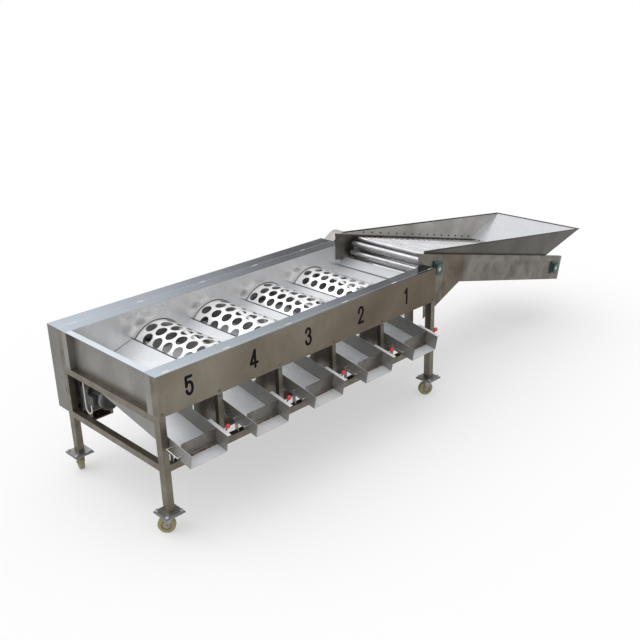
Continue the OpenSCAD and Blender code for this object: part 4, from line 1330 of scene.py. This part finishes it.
@dataclass
class MotorCable(Assembly):
    """Short white cable that hangs from the terminal box and goes up into the cross rail."""

    diameter: float = 8.0
    x: float = 33.0
    y: float = 752.5
    top_z: float = 510.0
    radius: float = 32.0
    rail_z: float = 668.0
    bend_steps: int = 12
    rise_steps: int = 6
    round_steps: int = 4

    def route(self) -> List[Vector]:
        """Lists the points of the cable's line, from the box to the rail.

        Returns:
            The points in order.
        """
        r, low = self.radius, self.top_z - self.radius
        line = [(self.y, self.top_z), (self.y, (self.top_z + low) / 2)]
        line += bow((self.y + r, low), (r, r), 180.0, 360.0, self.bend_steps)
        rise = (self.rail_z - low) / self.rise_steps
        line += [(self.y + 2 * r, low + rise * i) for i in range(1, self.rise_steps + 1)]
        return [LAYOUT.at(self.x, y, z) for y, z in line]

    def build(self) -> None:
        """Lays the cable."""
        points = self.route()
        curve = bpy.data.curves.new("motor_cable_lead", "CURVE")
        curve.dimensions = "3D"
        curve.bevel_depth = self.diameter * MM / 2
        curve.bevel_resolution = self.round_steps
        curve.use_fill_caps = True
        line = curve.splines.new("POLY")
        line.points.add(len(points) - 1)
        for slot, p in zip(line.points, points):
            slot.co = (*p, 1.0)
        lead = link_object("motor_cable_lead", curve)
        curve.materials.append(self.shop.materials["cable_sheath"])
        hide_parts("motor_cable")
        settle(lead)


@dataclass(frozen=True)
class RingedFinish:
    """Finish whose colour changes with the distance from an axis, under a patchy film."""

    name: str
    centre: Vector
    rings: Tuple[Tuple[float, Colour], ...]
    film: float
    film_reach: float = 0.16
    film_colour: Colour = (0.33, 0.30, 0.24)
    metallic: float = 0.0
    rough: float = 0.55
    pitch: float = 0.0
    flatten: Point = (1.0, 1.0, 1.0)

    def make(self, effects: Effects) -> bpy.types.Material:
        """Builds the material.

        Args:
            effects: Shared node groups.

        Returns:
            The finished material.
        """
        material, wires, shader = start_material(self.name)
        place = wires.place()
        local = wires.node("ShaderNodeMapping", {
            "Vector": self._wrapped(wires, place) if self.pitch else place,
            "Location": [-a * b for a, b in zip(self.centre, self.flatten)],
            "Scale": self.flatten,
        })
        reach = wires.node("ShaderNodeVectorMath", {0: local.outputs["Vector"]}, operation="LENGTH")
        widest = 2 * self.rings[-1][0]
        ramp = wires.node("ShaderNodeValToRGB", {"Fac": wires.math("DIVIDE", reach.outputs["Value"], widest)})
        ramp.color_ramp.interpolation = "CONSTANT"
        stops = ramp.color_ramp.elements
        stops.remove(stops[1])
        for i, (radius, colour) in enumerate(self.rings):
            stop = stops[0] if i == 0 else stops.new(radius / widest)
            stop.color = (*colour, 1.0)
        film = wires.group(
            effects.dust, {"Vector": place, "Reach": self.film_reach, "Amount": self.film}
        )
        wires.fill(shader, {
            "Base Color": wires.mix(film, ramp.outputs["Color"], self.film_colour),
            "Metallic": self.metallic,
            "Roughness": self.rough,
        })
        return material

    def _wrapped(self, wires: Wiring, place: Socket) -> Socket:
        """Repeats the rings along X at the pitch.

        Args:
            wires: Wiring of the material.
            place: Surface point.

        Returns:
            The point beside the first axis.
        """
        split = wires.node("ShaderNodeSeparateXYZ", {"Vector": place}).outputs
        half = self.pitch / 2
        wrap = wires.node(
            "ShaderNodeMath", {0: split["X"], 1: self.centre.x + half, 2: self.centre.x - half},
            operation="WRAP",
        )
        parts = {"X": wrap.outputs["Value"], "Y": split["Y"], "Z": split["Z"]}
        return wires.node("ShaderNodeCombineXYZ", parts).outputs["Vector"]


@dataclass
class RingTrim(Assembly):
    """Finishes of the wheels, with a dark hub, and of the wall rings, whose inner band is black as a painted
    shadow of the gap between drum and wall.
    """

    tread: Colour = (0.26, 0.245, 0.10)
    disc: Colour = (0.36, 0.33, 0.14)
    hub: Colour = (0.015, 0.015, 0.016)
    hub_r: float = 0.0195
    tread_r: float = 0.041
    wheel_film: float = 0.8
    # Black of the painted gap shadow on the wall rings, the ring holder's own colour, and the radius the
    # shadow reaches.
    painted_light: Colour = (0.018, 0.018, 0.019)
    holder: Colour = (0.62, 0.62, 0.62)
    gap_shadow_r: float = 0.2102

    def build(self) -> None:
        """Paints the wheels and the wall rings."""
        rings = ((0.0, self.hub), (self.hub_r, self.disc), (self.tread_r, self.tread))
        for corner in CASTER_NAMES:
            low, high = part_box("wheel_" + corner)
            wheel = RingedFinish("wheel_rings_" + corner, (low + high) / 2, rings, self.wheel_film)
            self.shop.cover("wheel_" + corner, wheel.make(self.shop.effects))
        # Painted shadow: each wall ring is black out to the given radius, where the gap between drum and wall
        # lies in shade.
        holder = RingedFinish(
            "ring_holder_gap_shadow", LAYOUT.at(LAYOUT.drum_x, 0.0, LAYOUT.drum_z),
            ((0.0, self.painted_light), (self.gap_shadow_r, self.holder)), film=0.3, film_reach=0.9,
            metallic=0.6, rough=0.4, pitch=LAYOUT.pitch * MM, flatten=(1.0, 0.0, 1.0),
        )
        self.shop.cover("wall_rings", holder.make(self.shop.effects))


@dataclass
class DeckGapShadows(Assembly):
    """Dark strips on the edges of the deck plates beside the drums, painted as the shadow of the gap between
    plate and drum.
    """

    edge_r: float = 216.5
    edge_angle: float = 142.0
    infeed: Flat = (2250.0, 795.0)
    lap: float = 4.0
    reach: float = 5.0
    thickness: float = 3.0
    skin: float = 0.5
    chamfer: float = 1.0
    wall_gap: float = 2.0

    def edges(self) -> List[Point]:
        """Lists each edge's place along and up, and the way its strip points along the deck.

        Returns:
            Distance, height and way of each edge.
        """
        a, s = math.radians(self.edge_angle), math.radians(LAYOUT.deck_slope)
        centres = [LAYOUT.drum_x + k * LAYOUT.pitch for k in range(LAYOUT.drums)]
        tops = [(x + self.edge_r * math.cos(a), LAYOUT.drum_z + self.edge_r * math.sin(a)) for x in centres]
        found = [(x, z, 1.0) for x, z in tops]
        for centre, (x, z) in zip(centres, tops[1:] + [self.infeed]):
            qx, qz = x - centre, z - LAYOUT.drum_z
            b = qx * math.cos(s) + qz * math.sin(s)
            run = b - math.sqrt(b * b - qx * qx - qz * qz + self.edge_r ** 2)
            found.append((x - run * math.cos(s), z - run * math.sin(s), -1.0))
        return found

    def build(self) -> None:
        """Lays the strips."""
        t, r, e, lap = self.thickness, self.reach, self.skin, self.lap
        profile = [(-lap, e), (r - self.chamfer, e), (r, -e), (r, -t), (e, -t), (e, 0.0), (-lap, 0.0)]
        front = LAYOUT.wall_w + self.wall_gap
        cos, sin = (turn(math.radians(LAYOUT.deck_slope)) for turn in (math.cos, math.sin))
        build = bmesh.new()
        for x, z, way in self.edges():
            line = [(x + way * u * cos - v * sin, z + way * u * sin + v * cos) for u, v in profile]
            walls = (front, LAYOUT.body_w - front)
            loft(build, [[LAYOUT.at(px, y, pz) for px, pz in line] for y in walls])
        # Painted shadow: the black strips stand for the shade in the gap between deck plate and drum.
        self.add("deck_edge_strips", build, "gap_shadow_black", "black_rubber")


@dataclass
class Studio:
    """Plain pale floor, one soft lamp, a soft sky and the camera at the photo's viewing angle."""

    lens: float = 48.17
    shift_x: float = 0.00875
    shift_y: float = -0.0008
    clip_end: float = 200.0
    stand: Point = (-2124.0, -3343.0, 2794.0)
    yaw: float = 45.81
    pitch: float = 21.91
    roll: float = -1.61
    floor_colour: Colour = (0.91, 0.91, 0.91)
    floor_rough: float = 0.9
    floor_shine: float = 0.1
    floor_size: float = 60.0
    floor_glow: float = 0.45
    sky: float = 0.65
    key: float = 1.5
    key_spread: float = 80.0
    key_from: Point = (-0.25, 0.25, 1.0)

    def camera(self) -> None:
        """Sets the camera."""
        data = bpy.data.cameras.new("studio_camera")
        data.lens = self.lens
        data.shift_x = self.shift_x
        data.shift_y = self.shift_y
        data.clip_end = self.clip_end
        cam = link_object("studio_camera", data)
        y, p, r = (math.radians(v) for v in (self.yaw, self.pitch, self.roll))
        ahead = Vector((math.cos(y) * math.cos(p), math.sin(y) * math.cos(p), -math.sin(p)))
        right = Vector((math.sin(y), -math.cos(y), 0.0))
        up = right.cross(ahead)
        side = right * math.cos(r) + up * math.sin(r)
        top = up * math.cos(r) - right * math.sin(r)
        turn = Matrix((side, top, -ahead)).transposed()
        cam.matrix_world = Matrix.Translation(LAYOUT.at(*self.stand)) @ turn.to_4x4()
        bpy.context.scene.camera = cam

    def sun(self) -> None:
        """Sets one wide soft light that falls evenly on object and floor."""
        data = bpy.data.lights.new("soft_top_light", "SUN")
        data.energy = self.key
        data.angle = math.radians(self.key_spread)
        lamp = link_object("soft_top_light", data)
        lamp.rotation_euler = (-Vector(self.key_from)).to_track_quat("-Z", "Y").to_euler()

    def world(self) -> None:
        """Sets a soft sky that shows white to the camera and in reflections."""
        world = bpy.data.worlds.new("studio_sky")
        bpy.context.scene.world = world
        world.use_nodes = True
        wires = Wiring(world.node_tree)
        strength = self._seen(wires, self.sky, 1.0)
        wires.fill(world.node_tree.nodes["Background"], {"Color": (1.0,) * 4, "Strength": strength})

    @staticmethod
    def _seen(wires: Wiring, unseen: float, seen: float) -> Socket:
        """Adds a value that differs between rays that show a surface and rays that light others.

        Args:
            wires: Wiring of the floor or the sky.
            unseen: Value for rays that light other surfaces.
            seen: Value for the camera's rays and those of reflections and glass.

        Returns:
            The value's output.
        """
        rays = wires.node("ShaderNodeLightPath").outputs
        shown = rays["Is Camera Ray"]
        for ray in ("Is Glossy Ray", "Is Transmission Ray"):
            shown = wires.math("MAXIMUM", shown, rays[ray])
        return wires.span(shown, (0.0, 1.0), (unseen, seen))

    def floor(self) -> None:
        """Lays the floor, which shows partly as plain white and keeps the machine's shadow."""
        build = bmesh.new()
        bmesh.ops.create_grid(build, x_segments=1, y_segments=1, size=self.floor_size / 2)
        floor = link_object("studio_floor", mesh_from("studio_floor", build))
        material, wires, shader = start_material("pale_floor")
        wires.fill(shader, {
            "Base Color": (*self.floor_colour, 1.0),
            "Roughness": self.floor_rough,
            "Specular IOR Level": self.floor_shine,
        })
        blend = wires.node("ShaderNodeMixShader", {
            "Fac": self._seen(wires, 0.0, self.floor_glow),
            1: shader.outputs["BSDF"],
            2: wires.node("ShaderNodeEmission").outputs["Emission"],
        })
        wires.fill(material.node_tree.nodes["Material Output"], {"Surface": blend.outputs["Shader"]})
        floor.data.materials.append(material)

    def build(self) -> None:
        """Sets the whole studio."""
        bpy.context.scene.view_settings.view_transform = "Standard"
        self.camera()
        self.world()
        self.floor()
        self.sun()


def main() -> None:
    """Builds the studio, paints the solids and sets the small pieces."""
    logging.basicConfig(level=logging.INFO, format="%(message)s")
    Studio().build()
    shop = PaintShop()
    scatter = ScatterTree(shop)
    shop.dress_solids()
    for assembly in (
        MotorCable, RingTrim, DeckGapShadows, Numbers, Fasteners, FootPlates, Welds, ElevatorLinks, HopperHem
    ):
        assembly(shop, scatter).build()


if __name__ == "__main__":
    main()
